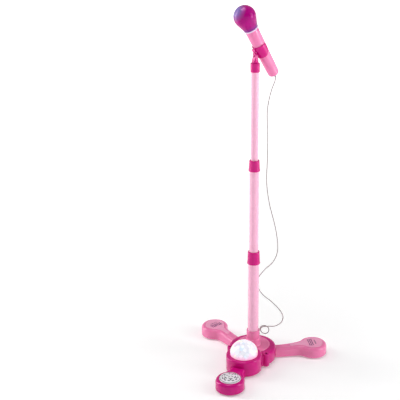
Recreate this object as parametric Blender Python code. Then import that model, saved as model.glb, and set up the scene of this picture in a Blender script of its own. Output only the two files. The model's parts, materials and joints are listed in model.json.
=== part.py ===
"""Toy microphone on a telescopic stand with a light-up three-legged base.

Metres, +Z up. The origin is on the pole's axis at the floor and the front leg points along -Y.
Every named object is one separate piece of the toy.
"""
import math

import bmesh
import bpy
from mathutils import Matrix, Vector

# ---- driving dimensions ---------------------------------------------------------------------
GAP = 0.0003            # clearance between touching pieces
SKIN = 0.0022           # wall of the moulded shells
SMOOTH_ANGLE = math.radians(32)
POLE_SEGMENTS = 24
MIC_SEGMENTS = 24

HUB_Y = -0.003          # centre of the main drum and of the three legs
DRUM_R = 0.0648
DRUM_TOP = 0.0407
DRUM_BOTTOM = 0.0065
LAMP_Y = -0.0720        # centre of the front drum, which carries the lamp
LAMP_DRUM_R = 0.0487
LAMP_DRUM_TOP = 0.0489
LAMP_DRUM_BOTTOM = 0.0055
DOME_R = 0.0378
BOSS_R = 0.0090         # screw towers in the creases between the drums
BOSS_X, BOSS_Y = 0.0522, -0.0385
BOSS_TOP, BOSS_BOTTOM = 0.0430, 0.0060
PLATE_BOTTOM, PLATE_TOP = 0.0070, 0.0090

LEG_REACH = 0.1727      # hub centre to the centre of a leg's round foot
FOOT_R = 0.0385
LEG_BOTTOM, LEG_TOP = 0.0040, 0.0325
NECK_HALF_SIDE, NECK_HALF_FRONT = 0.0165, 0.0200
NECK_FILLET = 0.0300
PAD_R = 0.0240
PEDAL_INSET = 0.0105
PEDAL_TAIL = 0.0600     # how far a side pedal reaches from the foot's centre towards the hub
FRONT_PEDAL_R = 0.0285
COUPLER_HALF = (0.0100, 0.0070)
COUPLER_Z = 0.0180

LOWER_TUBE = (0.01465, 0.0014, 0.0345, 0.3050)     # radius, wall, bottom, top
MIDDLE_TUBE = (0.0123, 0.0012, 0.2250, 0.5620)
UPPER_TUBE = (0.0098, 0.0011, 0.4600, 0.8160)
BUSH_LENGTH = 0.0120
LOWER_LOCK = (0.2875, 0.3226)
UPPER_LOCK = (0.5483, 0.5775)
COLLAR_BOTTOM, COLLAR_TOP = 0.0640, 0.0873

PIVOT_Z = 0.8500
MIC_LEAN = math.radians(32)         # mic axis from vertical
MIC_HEADING = math.radians(-122)    # direction that the head leans towards
MIC_OFFSET = 0.0225                 # tilt pivot to mic axis
ADAPTER_BOTTOM = 0.8064
ADAPTER_SHOULDER = 0.8276
ADAPTER_R = 0.0119
CHEEK_R = 0.0034
FORK_HALF, SLOT_HALF = 0.0052, 0.0028

BARREL_TAIL, BARREL_TOP = -0.0820, 0.0600
BARREL_TAIL_R, BARREL_TOP_R = 0.01445, 0.0172
HEAD_CENTRE, HEAD_R = 0.0975, 0.0282
HEAD_BASE, HEAD_BASE_R = 0.0643, 0.0189
CLIP_HALF = 0.0160                  # half height of the clip along the barrel
CLIP_TIP, CLIP_HIGH_TURN, CLIP_LOW_TURN = (math.radians(a) for a in (60, 68, 125))

JACK_HEADING = math.radians(98)
LINE_IN_HEADING = math.radians(118)
SWITCH_HEADING = math.radians(76)
JACK_Z = 0.0210
SPEAKER_XY = (-0.0320, -0.0100)
CELL_PITCH = 0.0148
SCREW_Y = LAMP_Y + 0.0268

CORD_RADIUS = 0.00135
CORD_ROUTE = [          # microphone tail to plug, round the back of the pole, with one small loop
    (0.0353, 0.0565, 0.7859), (0.0325, 0.0592, 0.7740), (0.0235, 0.0585, 0.7480),
    (0.0175, 0.0560, 0.7190), (0.0150, 0.0540, 0.6900), (0.0165, 0.0550, 0.6400),
    (0.0170, 0.0550, 0.5700), (0.0155, 0.0540, 0.5050), (0.0230, 0.0570, 0.4430),
    (0.0375, 0.0630, 0.3800), (0.0450, 0.0655, 0.3330), (0.0455, 0.0640, 0.3000),
    (0.0360, 0.0570, 0.2730), (0.0165, 0.0440, 0.2520), (0.0025, 0.0335, 0.2300),
    (0.0010, 0.0335, 0.2030), (0.0120, 0.0465, 0.1740), (0.0300, 0.0660, 0.1475),
    (0.0475, 0.0840, 0.1180), (0.0555, 0.0960, 0.0910), (0.0485, 0.0995, 0.0675),
    (0.0300, 0.0990, 0.0535), (0.0100, 0.0960, 0.0505), (-0.0050, 0.0945, 0.0465),
    (-0.0110, 0.0945, 0.0375), (-0.0085, 0.0965, 0.0280), (-0.0005, 0.1000, 0.0230),
    (0.0075, 0.1040, 0.0255), (0.0105, 0.1065, 0.0335), (0.0065, 0.1075, 0.0415),
    (-0.0025, 0.1070, 0.0450), (-0.0120, 0.1060, 0.0415), (-0.0165, 0.1050, 0.0335),
    (-0.0168, 0.1020, 0.0262), (-0.0142, 0.0950, 0.0215), (-0.0125, 0.0856, 0.0210),
]
CORD_STEPS = 2          # tube rings for each stretch of the route

MAGENTA = (0.62, 0.012, 0.22)
LIGHT_PINK = (0.86, 0.30, 0.48)
LILAC = (0.80, 0.66, 0.80)
WHITE = (0.85, 0.83, 0.85)
COLOURS = {             # colour, roughness, metallic
    "magenta_plastic": (MAGENTA, 0.25, 0.0), "pink_plastic": (LIGHT_PINK, 0.22, 0.0),
    "lilac_trim": (LILAC, 0.3, 0.0), "white_plastic": (WHITE, 0.3, 0.0),
    "clear_dome": ((0.92, 0.94, 0.98), 0.05, 0.0), "purple_dome": ((0.45, 0.02, 0.32), 0.12, 0.0),
    "black_rubber": ((0.03, 0.03, 0.03), 0.8, 0.0), "grey_rubber": ((0.45, 0.45, 0.47), 0.7, 0.0),
    "circuit_green": ((0.03, 0.22, 0.08), 0.45, 0.0), "black_plastic": ((0.03, 0.03, 0.035), 0.4, 0.0),
    "steel": ((0.62, 0.62, 0.64), 0.3, 1.0), "battery": ((0.15, 0.30, 0.55), 0.35, 0.0),
    "led": ((0.95, 0.95, 0.85), 0.1, 0.0), "paper": ((0.12, 0.12, 0.12), 0.9, 0.0),
    "foam": ((0.30, 0.10, 0.30), 0.95, 0.0), "cord_pvc": ((0.66, 0.63, 0.62), 0.5, 0.0),
}


# ---- building blocks ------------------------------------------------------------------------
def material(name):
    found = bpy.data.materials.get(name)
    if found:
        return found
    colour, roughness, metallic = COLOURS[name]
    made = bpy.data.materials.new(name)
    made.use_nodes = True
    shader = made.node_tree.nodes["Principled BSDF"]
    shader.inputs["Base Color"].default_value = (*colour, 1.0)
    shader.inputs["Roughness"].default_value = roughness
    shader.inputs["Metallic"].default_value = metallic
    return made


def make_object(name, bm, finish, place=None):
    """Turn a bmesh into a named object at the given matrix."""
    bmesh.ops.recalc_face_normals(bm, faces=bm.faces)
    mesh = bpy.data.meshes.new(name)
    bm.to_mesh(mesh)
    bm.free()
    mesh.shade_smooth()
    mesh.set_sharp_from_angle(angle=SMOOTH_ANGLE)
    mesh.materials.append(material(finish))
    made = bpy.data.objects.new(name, mesh)
    bpy.context.collection.objects.link(made)
    if place is not None:
        made.matrix_world = place
    return made


def at(x=0.0, y=0.0, z=0.0):
    return Matrix.Translation((x, y, z))


def arc(cx, cy, radius, start, end, steps):
    """Points along an arc, angles in degrees."""
    points = []
    for k in range(steps + 1):
        angle = math.radians(start + (end - start) * k / steps)
        points.append((cx + radius * math.cos(angle), cy + radius * math.sin(angle)))
    return points


def lathe(name, profile, finish, place=None, segments=32):
    """Turn (radius, height) points about Z. A profile that starts on the axis ends on it too."""
    bm = bmesh.new()
    closed = profile[0][0] > 1e-7
    flat_start = not closed and abs(profile[0][1] - profile[1][1]) < 1e-9
    flat_end = not closed and abs(profile[-1][1] - profile[-2][1]) < 1e-9
    kept = profile[1 if flat_start else 0:len(profile) - (1 if flat_end else 0)]
    rings = []
    for radius, height in kept:
        count = segments if radius > 1e-7 else 1
        angles = [math.tau * k / segments for k in range(count)]
        rings.append([bm.verts.new((radius * math.cos(a), radius * math.sin(a), height)) for a in angles])
    pairs = list(zip(rings, rings[1:]))
    if closed:
        pairs.append((rings[-1], rings[0]))
    for low, high in pairs:
        for k in range(segments):
            after = (k + 1) % segments
            corners = [low[k % len(low)], low[after % len(low)], high[after % len(high)], high[k % len(high)]]
            unique = list(dict.fromkeys(corners))
            if len(unique) > 2:
                bm.faces.new(unique)
    if flat_start:
        bm.faces.new(rings[0])
    if flat_end:
        bm.faces.new(rings[-1])
    return make_object(name, bm, finish, place)


def loft(name, loops, finish, place=None, ring=False):
    """Skin loops of equally many points; ring joins the last loop to the first, else ends are capped."""
    bm = bmesh.new()
    made = [[bm.verts.new(point) for point in loop] for loop in loops]
    pairs = list(zip(made, made[1:]))
    if ring:
        pairs.append((made[-1], made[0]))
    for low, high in pairs:
        for k in range(len(low)):
            after = (k + 1) % len(low)
            bm.faces.new((low[k], low[after], high[after], high[k]))
    if not ring:
        bm.faces.new(made[0])
        bm.faces.new(made[-1])
    return make_object(name, bm, finish, place)


def prism(name, outline, bottom, top, finish, place=None):
    """A flat slab with the given outline."""
    return loft(name, [[(x, y, z) for x, y in outline] for z in (bottom, top)], finish, place)


def box_outline(half_x, half_y, cx=0.0, cy=0.0):
    return [(cx - half_x, cy - half_y), (cx + half_x, cy - half_y),
            (cx + half_x, cy + half_y), (cx - half_x, cy + half_y)]


def boolean(target, tool, operation):
    """Join or cut with a helper object, which isn't part of the model."""
    tool.hide_render = True
    tool.display_type = "WIRE"
    modifier = target.modifiers.new(tool.name, "BOOLEAN")
    modifier.operation = operation
    modifier.object = tool
    modifier.solver = "EXACT"
    return target


def cut(target, tool):
    return boolean(target, tool, "DIFFERENCE")


def join(target, tool):
    return boolean(target, tool, "UNION")


def parent_keep(child, parent):
    child.parent = parent
    child.matrix_parent_inverse = parent.matrix_world.inverted()


def heading_matrix(heading, origin):
    """X along the heading, Z up."""
    return Matrix.Translation(origin) @ Matrix.Rotation(heading, 4, "Z")


def radial_place(heading, radius, height):
    """Z points out of the main drum's wall along the heading."""
    out = Vector((math.cos(heading), math.sin(heading), 0.0))
    side = Vector((0, 0, 1)).cross(out)
    turn = Matrix((side, Vector((0, 0, 1)), out)).transposed().to_4x4()
    return Matrix.Translation(Vector((0, HUB_Y, height)) + out * radius) @ turn


# ---- hub ------------------------------------------------------------------------------------
def drum_profile(radius, bottom, top, top_round, bottom_round):
    profile = [(0.0, top)]
    profile += list(reversed(arc(radius - top_round, top - top_round, top_round, 0, 90, 3)))
    profile += [(radius, bottom + bottom_round), (radius - bottom_round, bottom), (0.0, bottom)]
    return profile


def joined_discs(inset):
    """Outline of the two drums together, moved in by inset."""
    main_r, lamp_r = DRUM_R - inset, LAMP_DRUM_R - inset
    apart = HUB_Y - LAMP_Y
    y = LAMP_Y + (apart ** 2 + lamp_r ** 2 - main_r ** 2) / (2 * apart)
    x = math.sqrt(lamp_r ** 2 - (y - LAMP_Y) ** 2)
    main_a = math.degrees(math.atan2(y - HUB_Y, x))
    lamp_a = math.degrees(math.atan2(y - LAMP_Y, x))
    outline = arc(0, HUB_Y, main_r, main_a, 180 - main_a, 36)
    outline += arc(0, LAMP_Y, lamp_r, 180 - lamp_a, 360 + lamp_a, 30)[1:-1]
    return outline


def hub_upper_shell():
    """One moulding: main drum, front drum and two screw towers, open below."""
    place_main, place_lamp = at(y=HUB_Y), at(y=LAMP_Y)
    shell = lathe("hub_upper_shell", drum_profile(DRUM_R, DRUM_BOTTOM, DRUM_TOP, 0.007, 0.0015),
                  "magenta_plastic", place_main, 48)
    front = drum_profile(LAMP_DRUM_R, LAMP_DRUM_BOTTOM, LAMP_DRUM_TOP, 0.004, 0.0015)
    join(shell, lathe("_front_drum", front, "magenta_plastic", place_lamp, 40))
    for side in (-1, 1):
        tower = drum_profile(BOSS_R, BOSS_BOTTOM, BOSS_TOP, 0.002, 0.001)
        join(shell, lathe(f"_tower_{side}", tower, "magenta_plastic", at(side * BOSS_X, BOSS_Y), 16))
    inner_main = drum_profile(DRUM_R - SKIN, -0.001, DRUM_TOP - SKIN, 0.005, 0.001)
    cut(shell, lathe("_main_hollow", inner_main, "magenta_plastic", place_main, 48))
    inner_lamp = drum_profile(LAMP_DRUM_R - SKIN, -0.002, LAMP_DRUM_TOP - SKIN, 0.002, 0.001)
    cut(shell, lathe("_front_hollow", inner_lamp, "magenta_plastic", place_lamp, 40))
    cut(shell, lathe("_pole_hole", [(0, 0.030), (0.0200, 0.030), (0.0200, 0.060), (0, 0.060)],
                     "magenta_plastic", None, 32))
    cut(shell, lathe("_lamp_hole", [(0, 0.0440), (0.0330, 0.0440), (0.0330, 0.0600), (0, 0.0600)],
                     "magenta_plastic", place_lamp, 32))
    for heading, hole in ((JACK_HEADING, 0.0045), (LINE_IN_HEADING, 0.0045)):
        cut(shell, lathe(f"_socket_hole_{round(math.degrees(heading))}",
                         [(0, -0.010), (hole, -0.010), (hole, 0.010), (0, 0.010)],
                         "magenta_plastic", radial_place(heading, DRUM_R, JACK_Z), 20))
    cut(shell, prism("_switch_window", box_outline(0.0062, 0.0026), -0.010, 0.010,
                     "magenta_plastic", radial_place(SWITCH_HEADING, DRUM_R, JACK_Z)))
    for heading, wall_y, wall_r in leg_roots():
        cut(shell, prism(f"_coupler_hole_{round(math.degrees(heading))}",
                         box_outline(COUPLER_HALF[0] + GAP, COUPLER_HALF[1] + GAP), -0.012, 0.008,
                         "magenta_plastic", leg_end_place(heading, wall_y, wall_r)))
    for k in range(3):
        angle = math.radians(90 + 120 * k)
        x, y = 0.0400 * math.cos(angle), LAMP_Y + 0.0400 * math.sin(angle)
        join(shell, lathe(f"_lamp_post_{k}", [(0, 0.0420), (0.0022, 0.0420), (0.0022, 0.0475), (0, 0.0475)],
                          "magenta_plastic", at(x, y), 10))
    return shell


def hub_lower_shell():
    """Floor of the hub with the battery tray, sound holes, screw post and board standoffs."""
    plate = prism("hub_lower_shell", joined_discs(SKIN + GAP), PLATE_BOTTOM, PLATE_TOP, "magenta_plastic")
    tray_x, tray_y = 0.0266, 0.0226
    wall = 0.0015
    outer = box_outline(tray_x + wall, tray_y + wall, cy=LAMP_Y)
    inner = box_outline(tray_x, tray_y, cy=LAMP_Y)
    tray = loft("_battery_tray", [raised(outer, 0.0080), raised(outer, 0.0200), raised(inner, 0.0200),
                                  raised(inner, 0.0080)], "magenta_plastic", None, ring=True)
    join(plate, tray)
    join(plate, lathe("_screw_post", [(0, 0.0085), (0.0040, 0.0085), (0.0040, 0.0155), (0, 0.0155)],
                      "magenta_plastic", at(0, SCREW_Y), 16))
    for k, (x, y) in enumerate(((0.0120, 0.0), (0.0420, 0.0), (0.0270, -0.0250))):
        join(plate, lathe(f"_standoff_{k}", [(0, 0.0080), (0.0020, 0.0080), (0.0020, 0.0127), (0, 0.0127)],
                          "magenta_plastic", at(x, y), 8))
    cut(plate, prism("_battery_hole", door_outline(GAP), 0.0, PLATE_TOP + 0.0001, "magenta_plastic"))
    cut(plate, lathe("_screw_bore", [(0, 0.0), (0.0018, 0.0), (0.0018, 0.0150), (0, 0.0150)],
                     "magenta_plastic", at(0, SCREW_Y), 12))
    for k in range(7):
        ring = 0.0 if k == 0 else 0.0095
        angle = math.tau * k / 6
        hole = [(0, 0.0), (0.0026, 0.0), (0.0026, 0.02), (0, 0.02)]
        place = at(SPEAKER_XY[0] + ring * math.cos(angle), SPEAKER_XY[1] + ring * math.sin(angle))
        cut(plate, lathe(f"_sound_hole_{k}", hole, "magenta_plastic", place, 8))
    return plate


def hub_trim_plate():
    """Light pink crescent on top of the main drum, round the pole's turret."""
    plate = lathe("hub_trim_plate", [(0.0229, 0.0410), (0.0470, 0.0410), (0.0464, 0.0425), (0.0229, 0.0428)],
                  "pink_plastic", None, 40)
    edge = LAMP_DRUM_R + GAP
    cut(plate, lathe("_trim_cut", [(0, 0.030), (edge, 0.030), (edge, 0.060), (0, 0.060)],
                     "pink_plastic", at(y=LAMP_Y), 40))
    return plate


def pole_socket():
    """Turret and collar that the lower tube plugs into."""
    bore = LOWER_TUBE[0] + GAP
    profile = [
        (0.0, 0.0342), (bore, 0.0342), (bore, COLLAR_TOP), (0.0172, COLLAR_TOP),
        (0.0180, COLLAR_TOP - 0.0008), (0.0180, COLLAR_BOTTOM), (0.0173, COLLAR_BOTTOM - 0.0006),
        (0.0173, COLLAR_BOTTOM - 0.0016), (0.0188, COLLAR_BOTTOM - 0.0024), (0.0196, 0.0540),
        (0.0212, 0.0455), (0.0226, 0.0440), (0.0226, 0.0410), (0.0197, 0.0410), (0.0195, 0.0450),
        (0.0178, 0.0560), (0.0168, 0.0560), (0.0168, 0.0318), (0.0, 0.0318),
    ]
    return lathe("pole_socket", profile, "pink_plastic", None, POLE_SEGMENTS)


def dome_skin(radius, base):
    """Quarter of a slightly flattened ball on a short upright rim, from the crown down."""
    points = [(radius * math.cos(a), base + 0.0030 + (radius - 0.0030) * math.sin(a))
              for a in [math.radians(15 * k) for k in range(7)]]
    points[-1] = (0.0, points[-1][1])
    return list(reversed(points)) + [(radius, base)]


def lamp_parts():
    place = at(y=LAMP_Y)
    base = LAMP_DRUM_TOP + GAP
    profile = dome_skin(DOME_R, base) + list(reversed(dome_skin(DOME_R - 0.0018, base)))
    lathe("lamp_dome", profile, "clear_dome", place, 28)
    dish = [(0.0100, 0.0448), (0.0250, 0.0472), (0.0322, base), (0.0356, base), (0.0356, base + 0.0010),
            (0.0318, base + 0.0010), (0.0245, 0.0484), (0.0100, 0.0460)]
    lathe("lamp_reflector", dish, "steel", place, 24)
    board = [(0.0, 0.0401), (0.0420, 0.0401), (0.0420, 0.0417), (0.0, 0.0417)]
    lathe("lamp_board", board, "circuit_green", place, 24)
    for k in range(3):
        angle = math.radians(90 + 120 * k)
        led = [(0.0, 0.0496), (0.0014, 0.0491), (0.0024, 0.0476), (0.0024, 0.0420), (0.0, 0.0420)]
        spot = at(0.0058 * math.cos(angle), LAMP_Y + 0.0058 * math.sin(angle))
        lathe(f"lamp_led_{k + 1}", led, "led", spot, 10)


def door_outline(grow):
    """Battery opening in the hub's underside: a rectangle with a screw tab towards the middle."""
    half_x, half_y, tab, reach = 0.0264 + grow, 0.0224 + grow, 0.0060 + grow, 0.0312 + grow
    return [(x, LAMP_Y + y) for x, y in (
        (-half_x, -half_y), (half_x, -half_y), (half_x, half_y), (tab, half_y),
        (tab, reach), (-tab, reach), (-tab, half_y), (-half_x, half_y))]


def battery_parts():
    for k in range(3):
        place = at(0.0, LAMP_Y + CELL_PITCH * (k - 1), 0.0162)
        along_x = Matrix.Rotation(math.radians(-90 if k == 1 else 90), 4, "Y")
        cell = [(0.0, -0.0252), (0.0070, -0.0252), (0.0070, 0.0236), (0.0027, 0.0239), (0.0027, 0.0252),
                (0.0, 0.0252)]
        lathe(f"battery_{k + 1}", cell, "battery", place @ along_x, 16)
    for name, side in (("battery_contact_left", -1), ("battery_contact_right", 1)):
        plate = box_outline(0.0003, 0.0208, side * 0.0259, LAMP_Y)
        prism(name, plate, 0.0112, 0.0206, "steel")
    door = prism("battery_door", door_outline(0.0), PLATE_BOTTOM - 0.0002, PLATE_TOP - 0.0002,
                 "magenta_plastic")
    cut(door, lathe("_door_screw_hole", [(0, 0.0), (0.0019, 0.0), (0.0019, 0.02), (0, 0.02)],
                    "magenta_plastic", at(0, SCREW_Y), 12))
    screw = [(0.0, 0.0050), (0.0024, 0.0052), (0.0030, 0.0058), (0.0030, 0.0065), (0.0015, 0.0065),
             (0.0015, 0.0125), (0.0, 0.0140)]
    lathe("battery_door_screw", screw, "steel", at(0, SCREW_Y), 12)


def sound_parts():
    place = at(*SPEAKER_XY)
    basket = [(0.0, 0.0255), (0.0095, 0.0255), (0.0095, 0.0205), (0.0125, 0.0195), (0.0185, 0.0130),
              (0.0200, 0.0125), (0.0200, 0.0093), (0.0178, 0.0093), (0.0165, 0.0112), (0.0100, 0.0172),
              (0.0, 0.0172)]
    lathe("speaker_basket", basket, "steel", place, 20)
    cone = [(0.0, 0.0162), (0.0060, 0.0155), (0.0155, 0.0106), (0.0168, 0.0100), (0.0168, 0.0094),
            (0.0150, 0.0097), (0.0060, 0.0144), (0.0, 0.0150)]
    lathe("speaker_cone", cone, "paper", place, 20)
    board = prism("main_board", box_outline(0.0190, 0.0160, 0.0270, -0.0120), 0.0130, 0.0146, "circuit_green")
    join(board, prism("_chip", box_outline(0.0060, 0.0045, 0.0260, -0.0120), 0.0140, 0.0166, "circuit_green"))
    join(board, lathe("_capacitor", [(0, 0.0140), (0.0030, 0.0140), (0.0030, 0.0220), (0, 0.0220)],
                      "circuit_green", at(0.0380, -0.0200), 12))


def rear_panel_parts():
    """Microphone jack, line-in jack and the sliding power switch on the drum's back wall."""
    for name, heading in (("mic_jack_socket", JACK_HEADING), ("line_in_socket", LINE_IN_HEADING)):
        socket = [(0.0019, -0.0140), (0.0019, 0.0012), (0.0052, 0.0012), (0.0056, 0.0008), (0.0056, 0.0003),
                  (0.0042, 0.0003), (0.0042, -0.0140)]
        lathe(name, socket, "black_plastic", radial_place(heading, DRUM_R, JACK_Z), 16)
    knob_place = radial_place(SWITCH_HEADING, DRUM_R, JACK_Z) @ at(-0.0015)
    knob = prism("power_switch_knob", box_outline(0.0030, 0.0022), -0.0040, 0.0022,
                 "white_plastic", knob_place)
    join(knob, prism("_knob_flange", box_outline(0.0080, 0.0040), -0.0056, -0.0034,
                     "white_plastic", knob_place))
    plug = [(0.0, -0.0128), (0.0010, -0.0126), (0.0016, -0.0110), (0.0016, 0.0015), (0.0038, 0.0015),
            (0.0040, 0.0022), (0.0040, 0.0140), (0.0036, 0.0158), (0.0024, 0.0170), (0.0019, 0.0238),
            (0.0, 0.0238)]
    return lathe("mic_plug", plug, "black_plastic", radial_place(JACK_HEADING, DRUM_R, JACK_Z), 14)


# ---- legs -----------------------------------------------------------------------------------
LEG_HEADINGS = {"front": math.radians(-90), "right": math.radians(30), "left": math.radians(150)}


def leg_roots():
    """For each leg: heading, and the centre and radius of the drum wall it meets."""
    for heading in LEG_HEADINGS.values():
        if heading < 0:
            yield heading, LAMP_Y, LAMP_DRUM_R
        else:
            yield heading, HUB_Y, DRUM_R


def leg_end_place(heading, wall_y, wall_r):
    """Z points out along the leg from the drum's wall, at the coupler's height."""
    out = Vector((math.cos(heading), math.sin(heading), 0.0))
    side = Vector((0, 0, 1)).cross(out)
    turn = Matrix((side, Vector((0, 0, 1)), out)).transposed().to_4x4()
    return Matrix.Translation(Vector((0, wall_y, COUPLER_Z)) + out * wall_r) @ turn


def leg_outline(half, inset, root):
    """Spoon-shaped outline in the leg's own frame: X runs outward from the hub's centre.

    root is either ("wall", centre_x, radius), which follows the drum, or ("tail", x).
    """
    neck, foot = half - inset, FOOT_R - inset
    fillet = NECK_FILLET + inset
    across = half + NECK_FILLET
    fillet_x = LEG_REACH - math.sqrt((FOOT_R + NECK_FILLET) ** 2 - across ** 2)
    touch = math.degrees(math.atan2(across, LEG_REACH - fillet_x))
    lower = arc(fillet_x, -across, fillet, 90, touch, 4)
    disc = arc(LEG_REACH, 0, foot, touch - 180, 180 - touch, 18)[1:-1]
    upper = [(x, -y) for x, y in reversed(lower)]
    if root[0] == "wall":
        spread = math.degrees(math.asin(neck / root[2]))
        end = arc(root[1], 0, root[2], spread, -spread, 6)
    else:
        end = arc(root[1], 0, neck, 90, 270, 6)
    return end + lower + disc + upper


def ring_outline(outline, radius):
    """A circle about the foot's centre, with one point for each point of the outline."""
    points = []
    for x, y in outline:
        angle = math.atan2(y, x - LEG_REACH)
        points.append((LEG_REACH + radius * math.cos(angle), radius * math.sin(angle)))
    return points


def raised(outline, height):
    return [(x, y, height) for x, y in outline]


def leg_parts(side, heading):
    """Shell, base plate, rubber foot, coupler, pedal and its return dome for one leg."""
    front = side == "front"
    finish = "magenta_plastic" if front else "pink_plastic"
    half = NECK_HALF_FRONT if front else NECK_HALF_SIDE
    wall_x = (HUB_Y - LAMP_Y) if front else 0.0
    wall_r = (LAMP_DRUM_R if front else DRUM_R) + GAP
    place = heading_matrix(heading, (0, HUB_Y, 0))

    def outline(inset, extra=0.0):
        return leg_outline(half, inset, ("wall", wall_x, wall_r + extra))

    def opening(grow):
        if front:
            return ring_outline(outline(0.0), FRONT_PEDAL_R + 0.0004 + grow)
        return leg_outline(half, PEDAL_INSET - 0.0004 - grow, ("tail", LEG_REACH - PEDAL_TAIL))

    outer = [(0.0, LEG_BOTTOM), (0.0, 0.0235), (0.0013, 0.0283), (0.0042, 0.0313), (0.0085, LEG_TOP)]
    inner = [(0.0072, 0.0292), (0.0040, 0.0268), (SKIN, 0.0230), (SKIN, LEG_BOTTOM)]
    loops = [raised(outline(inset), height) for inset, height in outer]
    loops += [raised(opening(0.0), LEG_TOP), raised(opening(0.0), LEG_TOP - 0.0022)]
    loops += [raised(outline(inset, SKIN), height) for inset, height in inner]
    shell = loft(f"leg_shell_{side}", loops, finish, place, ring=True)
    hole = box_outline(COUPLER_HALF[0] + GAP, COUPLER_HALF[1] + GAP)
    end_place = leg_end_place(heading, LAMP_Y if front else HUB_Y, wall_r)
    cut(shell, prism(f"_leg_end_hole_{side}", hole, -0.004, 0.010, finish, end_place))
    base = outline(SKIN + GAP, SKIN + GAP)
    loft(f"leg_base_{side}", [raised(base, LEG_BOTTOM), raised(base, LEG_BOTTOM + 0.0018)], finish, place)
    foot = [(0.0, 0.0), (PAD_R - 0.0006, 0.0), (PAD_R, 0.0008), (PAD_R, LEG_BOTTOM - GAP),
            (0.0, LEG_BOTTOM - GAP)]
    centre = place @ at(LEG_REACH)
    lathe(f"foot_pad_{side}", foot, "black_rubber", centre, 24)
    coupler(side, heading, LAMP_Y if front else HUB_Y, wall_r)
    dome = [(0.0, 0.0270), (0.0040, 0.0270), (0.0055, 0.0255), (0.0080, 0.0085), (0.0105, 0.0061),
            (0.0, 0.0061)]
    lathe(f"return_dome_{side}", dome, "grey_rubber", centre, 16)
    if front:
        pedal = [(0.0, 0.0408), (0.0130, 0.0398), (0.0225, 0.0367), (0.0275, 0.0337), (FRONT_PEDAL_R, 0.0321),
                 (FRONT_PEDAL_R, 0.0294), (0.0300, 0.0292), (0.0300, 0.0278), (0.0265, 0.0278),
                 (0.0265, 0.0322), (0.0060, 0.0383), (0.0060, 0.0273), (0.0, 0.0273)]
        lathe("pedal_front", pedal, "white_plastic", centre, 28)
    else:
        tail = ("tail", LEG_REACH - PEDAL_TAIL)
        steps = [(PEDAL_INSET - 0.0018, 0.0278), (PEDAL_INSET - 0.0018, 0.0293), (PEDAL_INSET, 0.0294),
                 (PEDAL_INSET, 0.0328), (PEDAL_INSET + 0.0008, 0.0336)]
        loops = [raised(leg_outline(half, inset, tail), z) for inset, z in steps]
        cap = loft(f"pedal_{side}", loops, finish, place)
        post = [(0, 0.0273), (0.0060, 0.0273), (0.0060, 0.0290), (0, 0.0290)]
        join(cap, lathe(f"_pedal_post_{side}", post, finish, centre, 16))


def coupler(side, heading, wall_y, wall_r):
    """Hollow tongue that plugs the leg into the hub and passes its wires."""
    place = leg_end_place(heading, wall_y, wall_r)
    outer = box_outline(*COUPLER_HALF)
    inner = box_outline(COUPLER_HALF[0] - 0.0015, COUPLER_HALF[1] - 0.0015)
    near, far = -0.0100, 0.0120
    loops = [raised(outer, near), raised(outer, far), raised(inner, far), raised(inner, near)]
    loft(f"leg_coupler_{side}", loops, "black_plastic", place, ring=True)


# ---- telescopic pole ------------------------------------------------------------------------
def tube(name, radius, wall, bottom, top, bush=0.0):
    """A tube with a rolled top edge; bush is how far its guide bush stands out at the bottom."""
    profile = [(radius - wall, bottom), (radius + bush, bottom)]
    if bush:
        profile += [(radius + bush, bottom + BUSH_LENGTH), (radius, bottom + BUSH_LENGTH + 0.001)]
    profile += [(radius, top - 0.0005), (radius - 0.0005, top), (radius - wall, top)]
    return lathe(name, profile, "pink_plastic", None, POLE_SEGMENTS)


def lock_ring(name, span, outer_tube, inner_tube, lip_r, waist_r, top_r):
    """Twist-lock sleeve: slightly conical, with a small lip at its lower edge."""
    bottom, top = span
    step = outer_tube[0] + GAP
    grip = inner_tube[0] + GAP
    shoulder = outer_tube[3] + GAP
    profile = [
        (step, bottom), (lip_r - 0.0005, bottom), (lip_r, bottom + 0.0006), (lip_r, bottom + 0.0040),
        (waist_r, bottom + 0.0056), (top_r, top - 0.0010), (top_r - 0.0010, top), (grip, top),
        (grip, shoulder), (step, shoulder),
    ]
    return lathe(name, profile, "magenta_plastic", None, POLE_SEGMENTS)


def pole_parts():
    tube("lower_tube", *LOWER_TUBE)
    middle = tube("middle_tube", *MIDDLE_TUBE, bush=0.0006)
    upper = tube("upper_tube", *UPPER_TUBE, bush=0.0009)
    lock_ring("lower_lock_ring", LOWER_LOCK, LOWER_TUBE, MIDDLE_TUBE, 0.0178, 0.0170, 0.0158)
    ring = lock_ring("upper_lock_ring", UPPER_LOCK, MIDDLE_TUBE, UPPER_TUBE, 0.0153, 0.0146, 0.0134)
    parent_keep(ring, middle)
    parent_keep(upper, middle)
    return upper


# ---- adapter, clip and microphone -----------------------------------------------------------
def mic_axes():
    """Unit vectors: away from the tilt pivot, along the pivot, along the mic towards its head."""
    lean_to = Vector((math.cos(MIC_HEADING), math.sin(MIC_HEADING), 0.0))
    up = Vector((0, 0, 1))
    along = lean_to * math.sin(MIC_LEAN) + up * math.cos(MIC_LEAN)
    away = up * math.sin(MIC_LEAN) - lean_to * math.cos(MIC_LEAN)
    return away, along.cross(away), along


def mic_frame(offset):
    """Frame on a line parallel to the mic's axis; offset is its distance from the tilt pivot."""
    away, across, along = mic_axes()
    turn = Matrix((away, across, along)).transposed().to_4x4()
    return Matrix.Translation(Vector((0, 0, PIVOT_Z)) + away * offset) @ turn


def pivot_frame():
    """Z along the tilt pivot, centred on it."""
    away, across, along = mic_axes()
    turn = Matrix((away, -along, across)).transposed().to_4x4()
    return Matrix.Translation((0, 0, PIVOT_Z)) @ turn


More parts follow.
